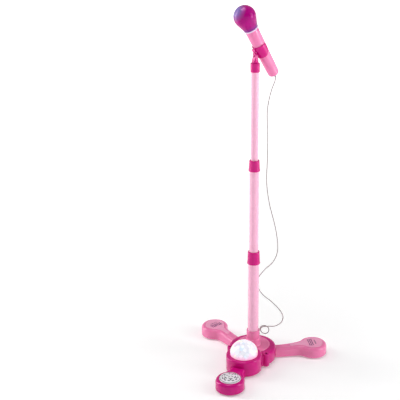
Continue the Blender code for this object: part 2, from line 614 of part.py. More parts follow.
def rounded_section(height, half_x, half_y, roundness):
    """One level of the adapter, between a square with cut corners (0) and an ellipse (1)."""
    points = []
    for k in range(24):
        a = math.tau * k / 24
        c, s = math.cos(a), math.sin(a)
        square = 1.0 / max(abs(c), abs(s))
        reach = roundness + (1.0 - roundness) * min(square, 1.30)
        points.append((half_x * reach * c, half_y * reach * s, height))
    return points


def clip_adapter():
    """Socket over the top of the pole, with a shoulder and a slim fork for the tilt pivot."""
    place = Matrix.Rotation(MIC_HEADING, 4, "Z")
    r = ADAPTER_R
    steps = [
        (ADAPTER_BOTTOM, r - 0.0004, r - 0.0004, 1.0), (ADAPTER_BOTTOM + 0.0006, r, r, 1.0),
        (ADAPTER_SHOULDER, r, r, 1.0), (ADAPTER_SHOULDER + 0.0013, r - 0.0007, r - 0.0007, 1.0),
        (ADAPTER_SHOULDER + 0.0020, 0.0082, 0.0086, 0.85), (0.8330, 0.0066, 0.0075, 0.45),
        (0.8390, 0.0055, 0.0063, 0.20), (0.8440, 0.0043, 0.0054, 0.05),
        (PIVOT_Z, CHEEK_R, FORK_HALF, 0.0),
    ]
    for k in range(1, 5):
        angle = math.radians(22.5 * k)
        half_x = max(CHEEK_R * math.cos(angle), 0.0006)
        steps.append((PIVOT_Z + CHEEK_R * math.sin(angle), half_x, FORK_HALF, 0.0))
    body = loft("clip_adapter", [rounded_section(*step) for step in steps], "magenta_plastic", place)
    bore = UPPER_TUBE[0] + GAP
    cut(body, lathe("_adapter_bore", [(0, 0.80), (bore, 0.80), (bore, 0.8175), (0, 0.8175)],
                    "magenta_plastic", None, 32))
    cut(body, prism("_fork_slot", box_outline(0.020, SLOT_HALF), 0.8440, 0.8700, "magenta_plastic", place))
    cut(body, lathe("_pivot_hole", [(0, -0.02), (0.0017, -0.02), (0.0017, 0.02), (0, 0.02)],
                    "magenta_plastic", pivot_frame(), 16))
    return body


def pivot_rivet():
    head = FORK_HALF + GAP
    profile = [(0.0, -head - 0.0016), (0.0018, -head - 0.0014), (0.0028, -head - 0.0005), (0.0028, -head),
               (0.0014, -head), (0.0014, head), (0.0030, head), (0.0030, head + 0.0006),
               (0.0020, head + 0.0016), (0.0, head + 0.0018)]
    return lathe("pivot_rivet", profile, "steel", pivot_frame(), 12)


def barrel_radius(s):
    share = (s - BARREL_TAIL) / (BARREL_TOP - BARREL_TAIL)
    return BARREL_TAIL_R + (BARREL_TOP_R - BARREL_TAIL_R) * share


def clip_edges(angle):
    """Lower and upper edge of the clip's arm at an angle from the middle of its opening."""
    low_turn = max(0.0, min((CLIP_LOW_TURN - angle) / (CLIP_LOW_TURN - CLIP_TIP), 1.0))
    high_turn = max(0.0, min((CLIP_HIGH_TURN - angle) / (CLIP_HIGH_TURN - CLIP_TIP), 1.0))
    low = -CLIP_HALF + 0.0220 * (1.0 - math.sqrt(1.0 - low_turn ** 2))
    high = CLIP_HALF - 0.0060 * (1.0 - math.sqrt(1.0 - high_turn ** 2))
    return low, high


def mic_clip():
    """Clip with two rounded arms round the barrel, a back rib and a lug for the fork."""
    loops = []
    half_turn = [math.radians(a) for a in (60, 61, 63.5, 68, 75, 84, 95, 110, 125, 145, 163)]
    for angle in half_turn + [math.pi] + [math.tau - a for a in reversed(half_turn)]:
        low, high = clip_edges(min(angle, math.tau - angle))
        loop = []
        for height, radius in ((low, barrel_radius(low) + 0.0004), (low, 0.0180), (low + 0.0008, 0.0184),
                               (high - 0.0008, 0.0186), (high, 0.0182), (high, barrel_radius(high) + 0.0004)):
            loop.append((radius * math.cos(angle), radius * math.sin(angle), height))
        loops.append(loop)
    clip = loft("mic_clip", loops, "magenta_plastic", mic_frame(MIC_OFFSET))
    lug_half = SLOT_HALF - GAP
    join(clip, lathe("_lug", [(0, -lug_half), (0.0040, -lug_half), (0.0040, lug_half), (0, lug_half)],
                     "magenta_plastic", pivot_frame(), 20))
    rib = [(-0.0240, -0.0028), (-0.0178, -0.0040), (-0.0178, 0.0150), (-0.0228, 0.0158), (-0.0240, 0.0145)]
    rib_place = mic_frame(MIC_OFFSET) @ Matrix.Rotation(math.radians(90), 4, "X")
    join(clip, prism("_rib", rib, -lug_half + 0.0001, lug_half - 0.0001, "magenta_plastic", rib_place))
    cut(clip, lathe("_lug_hole", [(0, -0.01), (0.0017, -0.01), (0.0017, 0.01), (0, 0.01)],
                    "magenta_plastic", pivot_frame(), 16))
    return clip


def barrel_profile():
    wall = 0.0020
    tail = [(0.0031, BARREL_TAIL)] + arc(BARREL_TAIL_R - 0.0090, BARREL_TAIL + 0.0090, 0.0090, -90, 0, 4)
    outer = tail + [(barrel_radius(-0.030), -0.030), (barrel_radius(0.020), 0.020),
                    (BARREL_TOP_R, BARREL_TOP)]
    inner = [(BARREL_TOP_R - wall, BARREL_TOP), (barrel_radius(-0.060) - wall, -0.060),
             (BARREL_TAIL_R - 0.0090, BARREL_TAIL + wall), (0.0031, BARREL_TAIL + wall)]
    return outer + inner


def head_skin(shrink, steps):
    """Half outline of the head: a straight cone that runs tangent into the ball."""
    radius = HEAD_R - shrink
    neck = (HEAD_BASE_R + 0.0006 - shrink, HEAD_BASE + 0.0040)
    reach = math.hypot(neck[0], HEAD_CENTRE - neck[1])
    start = math.atan2(neck[1] - HEAD_CENTRE, neck[0]) + math.acos(radius / reach)
    points = [(HEAD_BASE_R - shrink, HEAD_BASE), neck]
    points += arc(0.0, HEAD_CENTRE, radius, math.degrees(start), 90, steps)
    points[-1] = (0.0, HEAD_CENTRE + radius)
    return points


def mic_parts():
    place = mic_frame(MIC_OFFSET)
    barrel = lathe("mic_barrel", barrel_profile(), "pink_plastic", place, MIC_SEGMENTS)
    ring_in = BARREL_TOP_R - 0.0022
    ring = [(ring_in, BARREL_TOP + GAP), (0.0184, BARREL_TOP + GAP), (0.0188, 0.0610), (0.0188, 0.0636),
            (0.0184, 0.0640), (ring_in, 0.0640)]
    lathe("mic_trim_ring", ring, "lilac_trim", place, MIC_SEGMENTS)
    head = list(reversed(head_skin(0.0, 7))) + head_skin(0.0016, 7)
    lathe("mic_head", head, "purple_dome", place, MIC_SEGMENTS)
    liner = list(reversed(head_skin(0.0020, 5))) + head_skin(0.0045, 3)
    lathe("mic_foam_liner", liner, "foam", place, MIC_SEGMENTS)
    capsule = [(0.0, 0.0780), (0.0048, 0.0780), (0.0052, 0.0774), (0.0052, 0.0690), (0.0130, 0.0680),
               (0.0130, 0.0640), (0.0147, 0.0634), (0.0147, 0.0606), (0.0040, 0.0606), (0.0040, 0.0560),
               (0.0, 0.0560)]
    lathe("mic_capsule", capsule, "black_plastic", place, 16)
    bush = [(0.0016, BARREL_TAIL - 0.0070), (0.0021, BARREL_TAIL - 0.0070), (0.0027, BARREL_TAIL - GAP),
            (0.0027, BARREL_TAIL + 0.0024), (0.0046, BARREL_TAIL + 0.0024), (0.0046, BARREL_TAIL + 0.0044),
            (0.0016, BARREL_TAIL + 0.0044)]
    lathe("mic_tail_bush", bush, "grey_rubber", place, 12)
    for name in ("mic_trim_ring", "mic_head", "mic_foam_liner", "mic_capsule", "mic_tail_bush"):
        parent_keep(bpy.data.objects[name], barrel)
    return barrel


# ---- cord -----------------------------------------------------------------------------------
def smooth_route(points, steps):
    """Catmull-Rom points through the route."""
    route = [Vector(p) for p in points]
    route = [2 * route[0] - route[1]] + route + [2 * route[-1] - route[-2]]
    path = []
    for a, b, c, d in zip(route, route[1:], route[2:], route[3:]):
        for k in range(steps):
            t = k / steps
            path.append(0.5 * (2 * b + (c - a) * t + (2 * a - 5 * b + 4 * c - d) * t ** 2
                               + (3 * b - 3 * c + d - a) * t ** 3))
    path.append(route[-2])
    return path


def mic_cord():
    path = smooth_route(CORD_ROUTE, CORD_STEPS)
    curve = bpy.data.curves.new("mic_cord", "CURVE")
    curve.dimensions = "3D"
    curve.bevel_depth = CORD_RADIUS
    curve.bevel_resolution = 2
    curve.use_fill_caps = True
    spline = curve.splines.new("POLY")
    spline.points.add(len(path) - 1)
    for point, where in zip(spline.points, path):
        point.co = (*where, 1.0)
    curve.materials.append(material("cord_pvc"))
    made = bpy.data.objects.new("mic_cord", curve)
    bpy.context.collection.objects.link(made)
    return made


def main():
    for old in list(bpy.data.objects):
        bpy.data.objects.remove(old)
    hub_upper_shell()
    hub_lower_shell()
    hub_trim_plate()
    pole_socket()
    lamp_parts()
    battery_parts()
    sound_parts()
    rear_panel_parts()
    top = PLATE_BOTTOM - GAP
    centre = [(0.0, 0.0), (0.0126, 0.0), (0.0132, 0.0008), (0.0132, top), (0.0, top)]
    lathe("centre_foot", centre, "black_rubber", None, 24)
    for side, heading in LEG_HEADINGS.items():
        leg_parts(side, heading)
    upper = pole_parts()
    adapter = clip_adapter()
    clip = mic_clip()
    rivet = pivot_rivet()
    barrel = mic_parts()
    parent_keep(adapter, upper)
    parent_keep(rivet, adapter)
    parent_keep(clip, adapter)
    parent_keep(barrel, clip)
    mic_cord()


main()
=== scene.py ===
import json
from math import acos, asin, atan2, cos, degrees, hypot, pi, radians, sin, sqrt, tau

import bmesh
import bpy
from mathutils import Matrix, Vector


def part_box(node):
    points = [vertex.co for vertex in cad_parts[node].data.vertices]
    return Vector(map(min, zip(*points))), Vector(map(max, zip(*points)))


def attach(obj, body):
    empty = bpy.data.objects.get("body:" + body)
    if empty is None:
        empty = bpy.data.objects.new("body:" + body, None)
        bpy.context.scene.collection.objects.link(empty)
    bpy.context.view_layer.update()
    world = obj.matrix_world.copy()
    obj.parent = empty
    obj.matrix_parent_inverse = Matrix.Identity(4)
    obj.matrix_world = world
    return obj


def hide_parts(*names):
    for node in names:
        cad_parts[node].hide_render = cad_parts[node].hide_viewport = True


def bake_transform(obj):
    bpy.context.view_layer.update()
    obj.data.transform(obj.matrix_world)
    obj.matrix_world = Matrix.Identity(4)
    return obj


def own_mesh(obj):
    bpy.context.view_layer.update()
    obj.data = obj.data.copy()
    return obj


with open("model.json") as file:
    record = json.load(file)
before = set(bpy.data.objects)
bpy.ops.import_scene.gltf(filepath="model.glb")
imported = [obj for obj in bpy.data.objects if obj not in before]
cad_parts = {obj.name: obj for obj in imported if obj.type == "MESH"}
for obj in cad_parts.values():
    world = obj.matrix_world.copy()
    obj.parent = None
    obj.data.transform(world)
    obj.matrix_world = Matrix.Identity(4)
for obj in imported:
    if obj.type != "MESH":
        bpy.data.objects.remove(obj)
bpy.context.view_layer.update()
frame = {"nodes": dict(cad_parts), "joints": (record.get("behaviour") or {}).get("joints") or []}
NODES = frame["nodes"]
JOINTS = {j["name"]: j for j in frame["joints"]}

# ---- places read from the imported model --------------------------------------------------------
GAP = 0.0003


def mm(*points):
    """Points given in millimetres."""
    return [tuple(value / 1000 for value in point) for point in points]


def span(node, axis):
    low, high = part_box(node)
    return low[axis], high[axis]


PEDAL_LOW, PEDAL_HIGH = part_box("pedal_front")
FRONT_FOOT_Y = (PEDAL_LOW[1] + PEDAL_HIGH[1]) / 2
LAMP_LOW, LAMP_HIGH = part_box("lamp_dome")
LAMP_Y = (LAMP_LOW[1] + LAMP_HIGH[1]) / 2
DOME_R = (LAMP_HIGH[0] - LAMP_LOW[0]) / 2
HUB_LOW, HUB_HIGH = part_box("hub_upper_shell")
DRUM_R = 0.0648
WALL = 0.0022
PANEL_Z = 0.021
COUPLER_Z = 0.018
COUPLER_HALVES = 0.0103, 0.0073
HUB_Y = -0.003
LAMP_DRUM_R = LAMP_Y - HUB_LOW[1]
LAMP_DRUM_TOP = LAMP_LOW[2] - GAP
DRUM_TOP = span("hub_trim_plate", 2)[0] - GAP
LEG_REACH = HUB_Y - FRONT_FOOT_Y
LEG_LOW, LEG_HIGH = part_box("leg_shell_front")
LEG_BOTTOM, LEG_TOP = LEG_LOW[2], LEG_HIGH[2]
FOOT_R = (LEG_HIGH[0] - LEG_LOW[0]) / 2
PIVOT = Vector(JOINTS["clip_tilt"]["pos_m"])
ALONG = Vector(JOINTS["mic_lift"]["axis"]).normalized()
ACROSS = -Vector(JOINTS["clip_tilt"]["axis"]).normalized()
AWAY = ACROSS.cross(ALONG).normalized()
JACK_OUT = Vector(JOINTS["plug_pull"]["axis"]).normalized()
MIC_OFFSET = 0.0225
LEG_HEADINGS = {"front": radians(-90), "right": radians(30), "left": radians(150)}

# ---- camera and light -------------------------------------------------------------------------
eye = Vector((0.7086, -1.976, 1.2202))
forward = Vector((-0.3378, 0.8787, -0.3374)).normalized()
right = forward.cross(Vector((0, 0, 1))).normalized()
upward = right.cross(forward)
camera_data = bpy.data.cameras.new("camera")
camera_data.lens = 76.5
camera_data.sensor_width = 36
camera_data.shift_x = -0.0898
camera_data.clip_end = 50
camera = bpy.data.objects.new("camera", camera_data)
camera.matrix_world = Matrix.Translation(eye) @ Matrix((right, upward, -forward)).transposed().to_4x4()
bpy.context.scene.collection.objects.link(camera)
bpy.context.scene.camera = camera
bpy.context.scene.view_settings.view_transform = "Standard"


def area_light(name, place, aim, size, power, colour=(1, 1, 1), size_y=None):
    data = bpy.data.lights.new(name, "AREA")
    data.energy = power
    data.color = colour
    data.size = size
    if size_y:
        data.shape = "RECTANGLE"
        data.size_y = size_y
    light = bpy.data.objects.new(name, data)
    direction = (Vector(aim) - Vector(place)).normalized()
    light.matrix_world = Matrix.Translation(place) @ direction.to_track_quat("-Z", "Y").to_matrix().to_4x4()
    bpy.context.scene.collection.objects.link(light)


area_light("left_window", (-2.3, -0.35, 1.2), (0, 0, 0.45), 0.8, 34, (1, 0.99, 0.98), 2.4)
area_light("right_window", (2.2, 0.25, 1.1), (0, 0, 0.4), 0.7, 28, (0.98, 0.99, 1.0), 2.2)
area_light("top", (-0.3, -0.2, 2.5), (0, 0, 0.4), 0.9, 17)
area_light("fill", (0.3, -2.3, 1.6), (0, 0, 0.4), 0.35, 2.6)
world = bpy.data.worlds.new("studio")
world.use_nodes = True
sky = world.node_tree
background = sky.nodes["Background"]
where = sky.nodes.new("ShaderNodeTexCoord")
axes = sky.nodes.new("ShaderNodeSeparateXYZ")
sky.links.new(where.outputs["Generated"], axes.inputs[0])
ramp = sky.nodes.new("ShaderNodeMapRange")
for key, value in (("From Min", -0.9), ("From Max", 0.35), ("To Min", 0.05), ("To Max", 0.34)):
    ramp.inputs[key].default_value = value
sky.links.new(axes.outputs["Y"], ramp.inputs["Value"])
sky.links.new(ramp.outputs["Result"], background.inputs["Strength"])
background.inputs["Color"].default_value = (1.0, 1.0, 1.0, 1)
bpy.context.scene.world = world


# ---- materials --------------------------------------------------------------------------------
class Recipe:
    """A small helper for node materials."""

    def __init__(self, name):
        self.material = bpy.data.materials.new(name)
        self.material.use_nodes = True
        self.tree = self.material.node_tree
        self.shader = self.tree.nodes["Principled BSDF"]
        self.coords = self.tree.nodes.new("ShaderNodeTexCoord").outputs["Object"]

    def node(self, kind, **settings):
        made = self.tree.nodes.new(kind)
        for key, value in settings.items():
            setattr(made, key, value)
        return made

    def link(self, a, b):
        self.tree.links.new(a, b)

    def into(self, key, value):
        self.link(value, self.shader.inputs[key])

    def roughness(self, value, low, high, start=0.3, end=0.7):
        self.into("Roughness", self.remap(value, start, end, low, high))

    def relief(self, height, strength, distance):
        self.into("Normal", self.bump(height, strength, distance))

    def set(self, **values):
        for key, value in values.items():
            socket = self.shader.inputs[key.replace("_", " ")]
            socket.default_value = value

    def scaled(self, x, y, z):
        mapping = self.node("ShaderNodeMapping")
        mapping.inputs["Scale"].default_value = (x, y, z)
        self.link(self.coords, mapping.inputs["Vector"])
        return mapping.outputs["Vector"]

    def noise(self, scale, detail=3.0, rough=0.5, vector=None):
        made = self.node("ShaderNodeTexNoise")
        for key, value in (("Scale", scale), ("Detail", detail), ("Roughness", rough)):
            made.inputs[key].default_value = value
        self.link(vector or self.coords, made.inputs["Vector"])
        return made.outputs["Fac"]

    def remap(self, value, a, b, c, d):
        made = self.node("ShaderNodeMapRange")
        for key, limit in (("From Min", a), ("From Max", b), ("To Min", c), ("To Max", d)):
            made.inputs[key].default_value = limit
        self.link(value, made.inputs["Value"])
        return made.outputs["Result"]

    def mix(self, factor, a, b, blend="MIX"):
        made = self.node("ShaderNodeMix", data_type="RGBA", blend_type=blend)
        for socket, value in (("Factor", factor), ("A", a), ("B", b)):
            target = [s for s in made.inputs
                if s.name == socket and (s.type == "RGBA" or socket == "Factor")][0]
            if isinstance(value, (int, float)):
                target.default_value = value
            elif isinstance(value, tuple):
                target.default_value = (*value, 1.0)
            else:
                self.link(value, target)
        return [s for s in made.outputs if s.type == "RGBA"][0]

    def math(self, operation, a, b=None):
        made = self.node("ShaderNodeMath", operation=operation)
        for k, value in enumerate((a, b)):
            if value is None:
                continue
            if isinstance(value, (int, float)):
                made.inputs[k].default_value = value
            else:
                self.link(value, made.inputs[k])
        return made.outputs[0]

    def bump(self, height, strength, distance, after=None):
        made = self.node("ShaderNodeBump")
        made.inputs["Strength"].default_value = strength
        made.inputs["Distance"].default_value = distance
        self.link(height, made.inputs["Height"])
        if after is not None:
            self.link(after, made.inputs["Normal"])
        return made.outputs["Normal"]


def linear(r, g, b):
    """Linear colour from 8-bit display values."""
    return tuple(c / 12.92 if c <= 0.04045 else ((c + 0.055) / 1.055) ** 2.4 for c in (r / 255, g / 255,
        b / 255))


def shade(colour, k):
    return tuple(min(max(c * k, 0.0), 1.0) for c in colour)


def moulded(name, colour, rough=0.2, coat=0.22, grain=420.0, bump=0.07, skin=0.05, streak=None, ior=1.44,
        tint=(1.0, 1.0, 1.0)):
    """Glossy moulded plastic: faint flow marks, fine orange peel, dust-dulled and lightly rubbed patches."""
    r = Recipe(name)
    flow = r.noise(7.0, 4.0, 0.55, r.scaled(1.0, 1.0, 0.35))
    base = r.mix(r.remap(flow, 0.35, 0.65, 0.0, 1.0), shade(colour, 0.955), shade(colour, 1.035))
    speck = r.noise(900.0, 2.0, 0.6)
    base = r.mix(r.remap(speck, 0.62, 0.78, 0.0, 0.1), base, shade(colour, 1.35))
    if streak:
        lines = r.noise(60.0, 3.0, 0.6, r.scaled(9.0, 9.0, 0.12))
        base = r.mix(r.remap(lines, 0.4, 0.65, 0.0, streak), base, shade(colour, 0.86))
    r.into("Base Color", base)
    wear = r.noise(34.0, 5.0, 0.65)
    r.roughness(wear, rough * 0.82, rough * 1.35, 0.3, 0.75)
    fine = r.noise(grain, 2.0, 0.5)
    first = r.bump(fine, bump, 0.00025)
    wide = r.bump(r.noise(26.0, 2.0, 0.4), bump * 0.35, 0.0012, first)
    r.into("Normal", wide)
    r.set(Coat_Weight=coat, Coat_Roughness=0.06, IOR=ior, Subsurface_Weight=skin, Subsurface_Scale=0.004)
    r.shader.inputs["Subsurface Radius"].default_value = (1.0, 0.35, 0.6)
    r.shader.inputs["Specular Tint"].default_value = (*tint, 1.0)
    return r.material


MAGENTA = linear(200, 14, 122)
PINK = linear(236, 122, 172)
TUBE_PINK = linear(250, 182, 211)
LILAC = linear(224, 200, 226)
WHITE = linear(236, 230, 236)

magenta = moulded("magenta_moulded", MAGENTA, rough=0.18, coat=0.14, tint=(1.0, 0.45, 0.78))
magenta_pole = moulded("magenta_pole_fittings", linear(204, 10, 122), rough=0.17, coat=0.16,
    tint=(1.0, 0.45, 0.78))
pink = moulded("pink_moulded", PINK, skin=0.1)
# Paler pink for the side pedals, which form the legs' tops: painted light, the lit colour of the upward
# faces.
pink_pedal_painted_lit_top = moulded("pink_pedal_painted_lit_top", linear(240, 158, 194), skin=0.1, grain=650.0)
pink_barrel = moulded("pink_barrel", linear(232, 118, 172), rough=0.16, coat=0.45, skin=0.06, ior=1.5)
tube_pink = moulded("pink_tube", TUBE_PINK, rough=0.26, skin=0.08, streak=0.1)
lilac = moulded("lilac_ring", LILAC, rough=0.3)
white = moulded("white_moulded", WHITE, rough=0.26, skin=0.08)
ink_purple = moulded("printed_purple", linear(84, 12, 82), rough=0.4, coat=0.1, grain=1500.0)
# Grey for printed marks, also used for the painted gap shadow round the front button.
grey_ink_and_painted_shadow = moulded("printed_grey_and_painted_shadow", linear(52, 46, 64), rough=0.4, coat=0.1, grain=1500.0)
ink_pink = moulded("printed_pink", linear(222, 84, 150), rough=0.4, coat=0.1, grain=1500.0)


def rubber(name, colour, rough=0.78):
    r = Recipe(name)
    fine = r.noise(1300.0, 3.0, 0.7)
    dust = r.noise(60.0, 5.0, 0.6)
    r.into("Base Color", r.mix(r.remap(dust, 0.45, 0.75, 0.0, 0.3), colour, shade(colour, 2.4)))
    r.roughness(dust, rough * 0.85, min(rough * 1.15, 1.0))
    r.relief(fine, 0.35, 0.0003)
    r.set(Specular_IOR_Level=0.35)
    return r.material


def metal(name, colour, rough=0.28, brushed=(1, 1, 40)):
    r = Recipe(name)
    lines = r.noise(120.0, 4.0, 0.6, r.scaled(*brushed))
    spots = r.noise(90.0, 5.0, 0.65)
    r.into("Base Color", r.mix(r.remap(spots, 0.5, 0.8, 0.0, 0.35), colour, shade(colour, 0.62)))
    r.roughness(lines, rough * 0.7, rough * 1.4)
    r.relief(lines, 0.12, 0.0001)
    r.set(Metallic=1.0)
    return r.material


black_rubber = rubber("black_rubber", (0.018, 0.018, 0.019))
grey_rubber = rubber("grey_rubber", (0.3, 0.29, 0.31), 0.65)
steel = metal("plated_steel", (0.6, 0.6, 0.62))
lacquered_steel = metal("lacquered_steel", (0.5, 0.015, 0.2), 0.36)
reflector = metal("metallised_dish", (0.86, 0.86, 0.88), 0.1, (1, 1, 1))
black_plastic = moulded("black_moulded", (0.018, 0.018, 0.021), rough=0.38, coat=0.1, skin=0.0, grain=900.0,
    bump=0.3)
paper = rubber("speaker_paper", (0.035, 0.034, 0.033), 0.9)


def circuit_board():
    r = Recipe("solder_mask")
    bricks = r.node("ShaderNodeTexBrick", offset=0.5)
    bricks.inputs["Scale"].default_value = 220.0
    bricks.inputs["Mortar Size"].default_value = 0.03
    r.link(r.coords, bricks.inputs["Vector"])
    base = r.mix(bricks.outputs["Fac"], (0.01, 0.085, 0.03), (0.035, 0.2, 0.07))
    blotch = r.remap(r.noise(500.0, 2.0), 0.64, 0.68, 0.0, 1.0)
    r.into("Base Color", r.mix(blotch, base, (0.55, 0.48, 0.3)))
    r.roughness(r.noise(300.0), 0.3, 0.5)
    r.relief(bricks.outputs["Fac"], 0.3, 0.0001)
    return r.material


def battery_sleeve():
    r = Recipe("cell_sleeve")
    axes = r.node("ShaderNodeSeparateXYZ")
    r.link(r.coords, axes.inputs[0])
    end = r.remap(r.math("ABSOLUTE", axes.outputs["X"]), 0.015, 0.0152, 0.0, 1.0)
    tone = r.noise(50.0, 3.0)
    body = r.mix(tone, (0.02, 0.08, 0.25), (0.04, 0.13, 0.36))
    r.into("Base Color", r.mix(end, body, (0.62, 0.56, 0.42)))
    r.roughness(tone, 0.25, 0.42)
    r.relief(r.noise(700.0), 0.1, 0.0001)
    r.set(Coat_Weight=0.4)
    return r.material


def lit_dome():
    """Clear lamp dome, lit from within: white facets, some faintly coloured, pinker at the rim."""
    r = Recipe("clear_lit_dome")
    zones = r.node("ShaderNodeTexVoronoi", feature="F1")
    zones.inputs["Scale"].default_value = 95.0
    r.link(r.coords, zones.inputs["Vector"])
    edges = r.node("ShaderNodeTexVoronoi", feature="DISTANCE_TO_EDGE")
    edges.inputs["Scale"].default_value = 95.0
    r.link(r.coords, edges.inputs["Vector"])
    cell = r.node("ShaderNodeSeparateColor")
    r.link(zones.outputs["Color"], cell.inputs[0])
    tint = r.mix(r.remap(cell.outputs[0], 0.7, 0.74, 0.0, 0.9), (0.86, 0.87, 0.9), (0.98, 0.95, 0.62))
    tint = r.mix(r.remap(cell.outputs[1], 0.76, 0.8, 0.0, 0.9), tint, (0.58, 0.84, 0.98))
    tint = r.mix(r.remap(cell.outputs[2], 0.8, 0.84, 0.0, 0.9), tint, (0.98, 0.56, 0.76))
    tint = r.mix(r.remap(cell.outputs[0], 0.0, 0.35, 0.55, 0.0), tint, (0.42, 0.42, 0.5))
    axes = r.node("ShaderNodeSeparateXYZ")
    r.link(r.coords, axes.inputs[0])
    rim = r.remap(axes.outputs["Z"], LAMP_LOW[2], LAMP_LOW[2] + 0.012, 0.7, 0.0)
    glow = r.mix(rim, tint, (0.9, 0.3, 0.56))
    seam = r.remap(edges.outputs["Distance"], 0.0, 0.07, 0.55, 0.0)
    r.into("Emission Color", r.mix(seam, glow, (0.4, 0.38, 0.46)))
    r.into("Base Color", r.mix(rim, (0.42, 0.42, 0.46), (0.6, 0.22, 0.38)))
    r.roughness(zones.outputs["Distance"], 0.04, 0.14, 0.0, 0.6)
    r.relief(r.remap(edges.outputs["Distance"], 0.0, 0.12, 0.0, 1.0), 0.3, 0.0006)
    r.set(Emission_Strength=0.62, Transmission_Weight=0.35, IOR=1.46, Coat_Weight=0.5, Coat_Roughness=0.03)
    return r.material


def led_lens():
    r = Recipe("led_lens")
    r.shader.inputs["Base Color"].default_value = (0.98, 0.97, 0.9, 1)
    r.into("Emission Color", r.mix(r.noise(900.0), (1.0, 0.97, 0.82), (0.9, 0.95, 1.0)))
    r.roughness(r.noise(400.0), 0.04, 0.12)
    r.set(Emission_Strength=1.6, Transmission_Weight=0.3)
    return r.material


MIC_BASE = PIVOT + AWAY * MIC_OFFSET
HEAD_S, HEAD_R = 0.0975, 0.0282
HEAD_AT = MIC_BASE + ALONG * HEAD_S


def distance_to(r, point):
    """Distance of the shaded point from a fixed point of the object."""
    made = r.node("ShaderNodeVectorMath", operation="DISTANCE")
    r.link(r.coords, made.inputs[0])
    made.inputs[1].default_value = tuple(point)
    return made.outputs["Value"]


def head_shell():
    """Smooth see-through shell of the head: magenta, violet towards the collar, with a blue-violet highlight
    painted on one side of the crown.
    """
    r = Recipe("head_shell")
    # A fixed spot on one side of the crown where the shell turns blue-violet: a painted highlight.
    crown = HEAD_AT + (ALONG * 0.86 - ACROSS * -0.12 - AWAY * 0.45).normalized() * HEAD_R
    blue_highlight_mask = r.remap(distance_to(r, crown), 0.01, 0.027, 0.85, 0.0)
    collar = r.remap(distance_to(r, MIC_BASE + ALONG * 0.058), 0.02, 0.0285, 0.72, 0.0)
    base = r.mix(r.noise(30.0, 3.0), (0.6, 0.002, 0.3), (0.7, 0.006, 0.38))
    base = r.mix(collar, base, (0.2, 0.06, 0.42))
    base = r.mix(blue_highlight_mask, base, (0.32, 0.32, 0.74))
    r.into("Base Color", base)
    r.roughness(r.noise(40.0, 4.0), 0.05, 0.12)
    r.relief(r.noise(300.0, 2.0), 0.05, 0.0002)
    r.set(Transmission_Weight=0.5, IOR=1.33, Coat_Weight=0.14, Coat_Roughness=0.03)
    r.shader.inputs["Specular Tint"].default_value = (1.0, 0.25, 0.75, 1.0)
    return r.material


def cord_vinyl():
    r = Recipe("cord_vinyl")
    tone = r.noise(40.0, 4.0, 0.6)
    r.into("Base Color", r.mix(tone, linear(150, 140, 142), linear(182, 174, 174)))
    r.roughness(r.noise(300.0), 0.36, 0.52)
    r.relief(r.noise(900.0, 3.0), 0.25, 0.0002)
    r.set(Specular_IOR_Level=0.4, Subsurface_Weight=0.05, Subsurface_Scale=0.002)
    return r.material


board_green = circuit_board()
cell_sleeve = battery_sleeve()
dome_clear = lit_dome()
led = led_lens()
head_clear = head_shell()
cord_grey = cord_vinyl()
mesh_magenta = moulded("head_mesh", (0.4, 0.008, 0.2), rough=0.3, coat=0.1, skin=0.0)
# The wires' pale pink, much lighter than the dark core, is a painted highlight on the diamond pattern.
mesh_wires_painted_highlight = moulded("head_mesh_wires_painted_highlight", (0.95, 0.26, 0.75), rough=0.25, coat=0.3, skin=0.0)


# ---- mesh helpers -----------------------------------------------------------------------------
def piece(name, bm, material, body, replaces=(), place=None, angle=30.0):
    """Finish a mesh as a piece that rides on a body."""
    bmesh.ops.recalc_face_normals(bm, faces=bm.faces)
    if place is not None:
        move(bm, place)
    mesh = bpy.data.meshes.new(name)
    bm.to_mesh(mesh)
    bm.free()
    mesh.shade_smooth()
    mesh.set_sharp_from_angle(angle=radians(angle))
    mesh.materials.append(material)
    made = bpy.data.objects.new(name, mesh)
    bpy.context.scene.collection.objects.link(made)
    if body:
        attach(made, body)
    if replaces:
        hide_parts(*replaces)
    return made


def arc(cx, cy, radius, start, end, steps):
    return [(cx + radius * cos(radians(start + (end - start) * k / steps)),
        cy + radius * sin(radians(start + (end - start) * k / steps))) for k in range(steps + 1)]


def soften(profile, radius=0.0004, steps=2):
    """Round the corners of a (radius, height) profile a little."""
    out = []
    last = len(profile) - 1
    for k, p in enumerate(profile):
        if profile[0][0] < 1e-7 and k in (0, last):
            out.append(p)
            continue
        a, b = Vector(profile[k - 1]), Vector(profile[(k + 1) % len(profile)])
        c = Vector(p)
        ab, cb = (a - c), (b - c)
        la, lb = ab.length, cb.length
        if la < 1e-9 or lb < 1e-9 or ab.angle(cb) > radians(165):
            out.append(p)
            continue
        share = min(radius, la * 0.4, lb * 0.4)
        p0, p1 = c + ab.normalized() * share, c + cb.normalized() * share
        for j in range(steps + 1):
            t = j / steps
            q = p0 * (1 - t) ** 2 + c * 2 * t * (1 - t) + p1 * t ** 2
            out.append((q.x, q.y))
    return out


def turned(profile, segments=96, wave=None):
    """Turn a (radius, height) profile about Z. wave(angle, radius, height) can change the radius."""
    bm = bmesh.new()
    rings = []
    for radius, height in profile:
        if radius < 1e-7:
            rings.append([bm.verts.new((0, 0, height))])
            continue
        ring = []
        for k in range(segments):
            a = tau * k / segments
            q = radius + (wave(a, radius, height) if wave else 0.0)
            ring.append(bm.verts.new((q * cos(a), q * sin(a), height)))
        rings.append(ring)
    pairs = list(zip(rings, rings[1:]))
    if profile[0][0] > 1e-7:
        pairs.append((rings[-1], rings[0]))
    for low, high in pairs:
        for k in range(segments):
            n = (k + 1) % segments
            corners = [low[k % len(low)], low[n % len(low)], high[n % len(high)], high[k % len(high)]]
            unique = list(dict.fromkeys(corners))
            if len(unique) > 2:
                bm.faces.new(unique)
    return bm


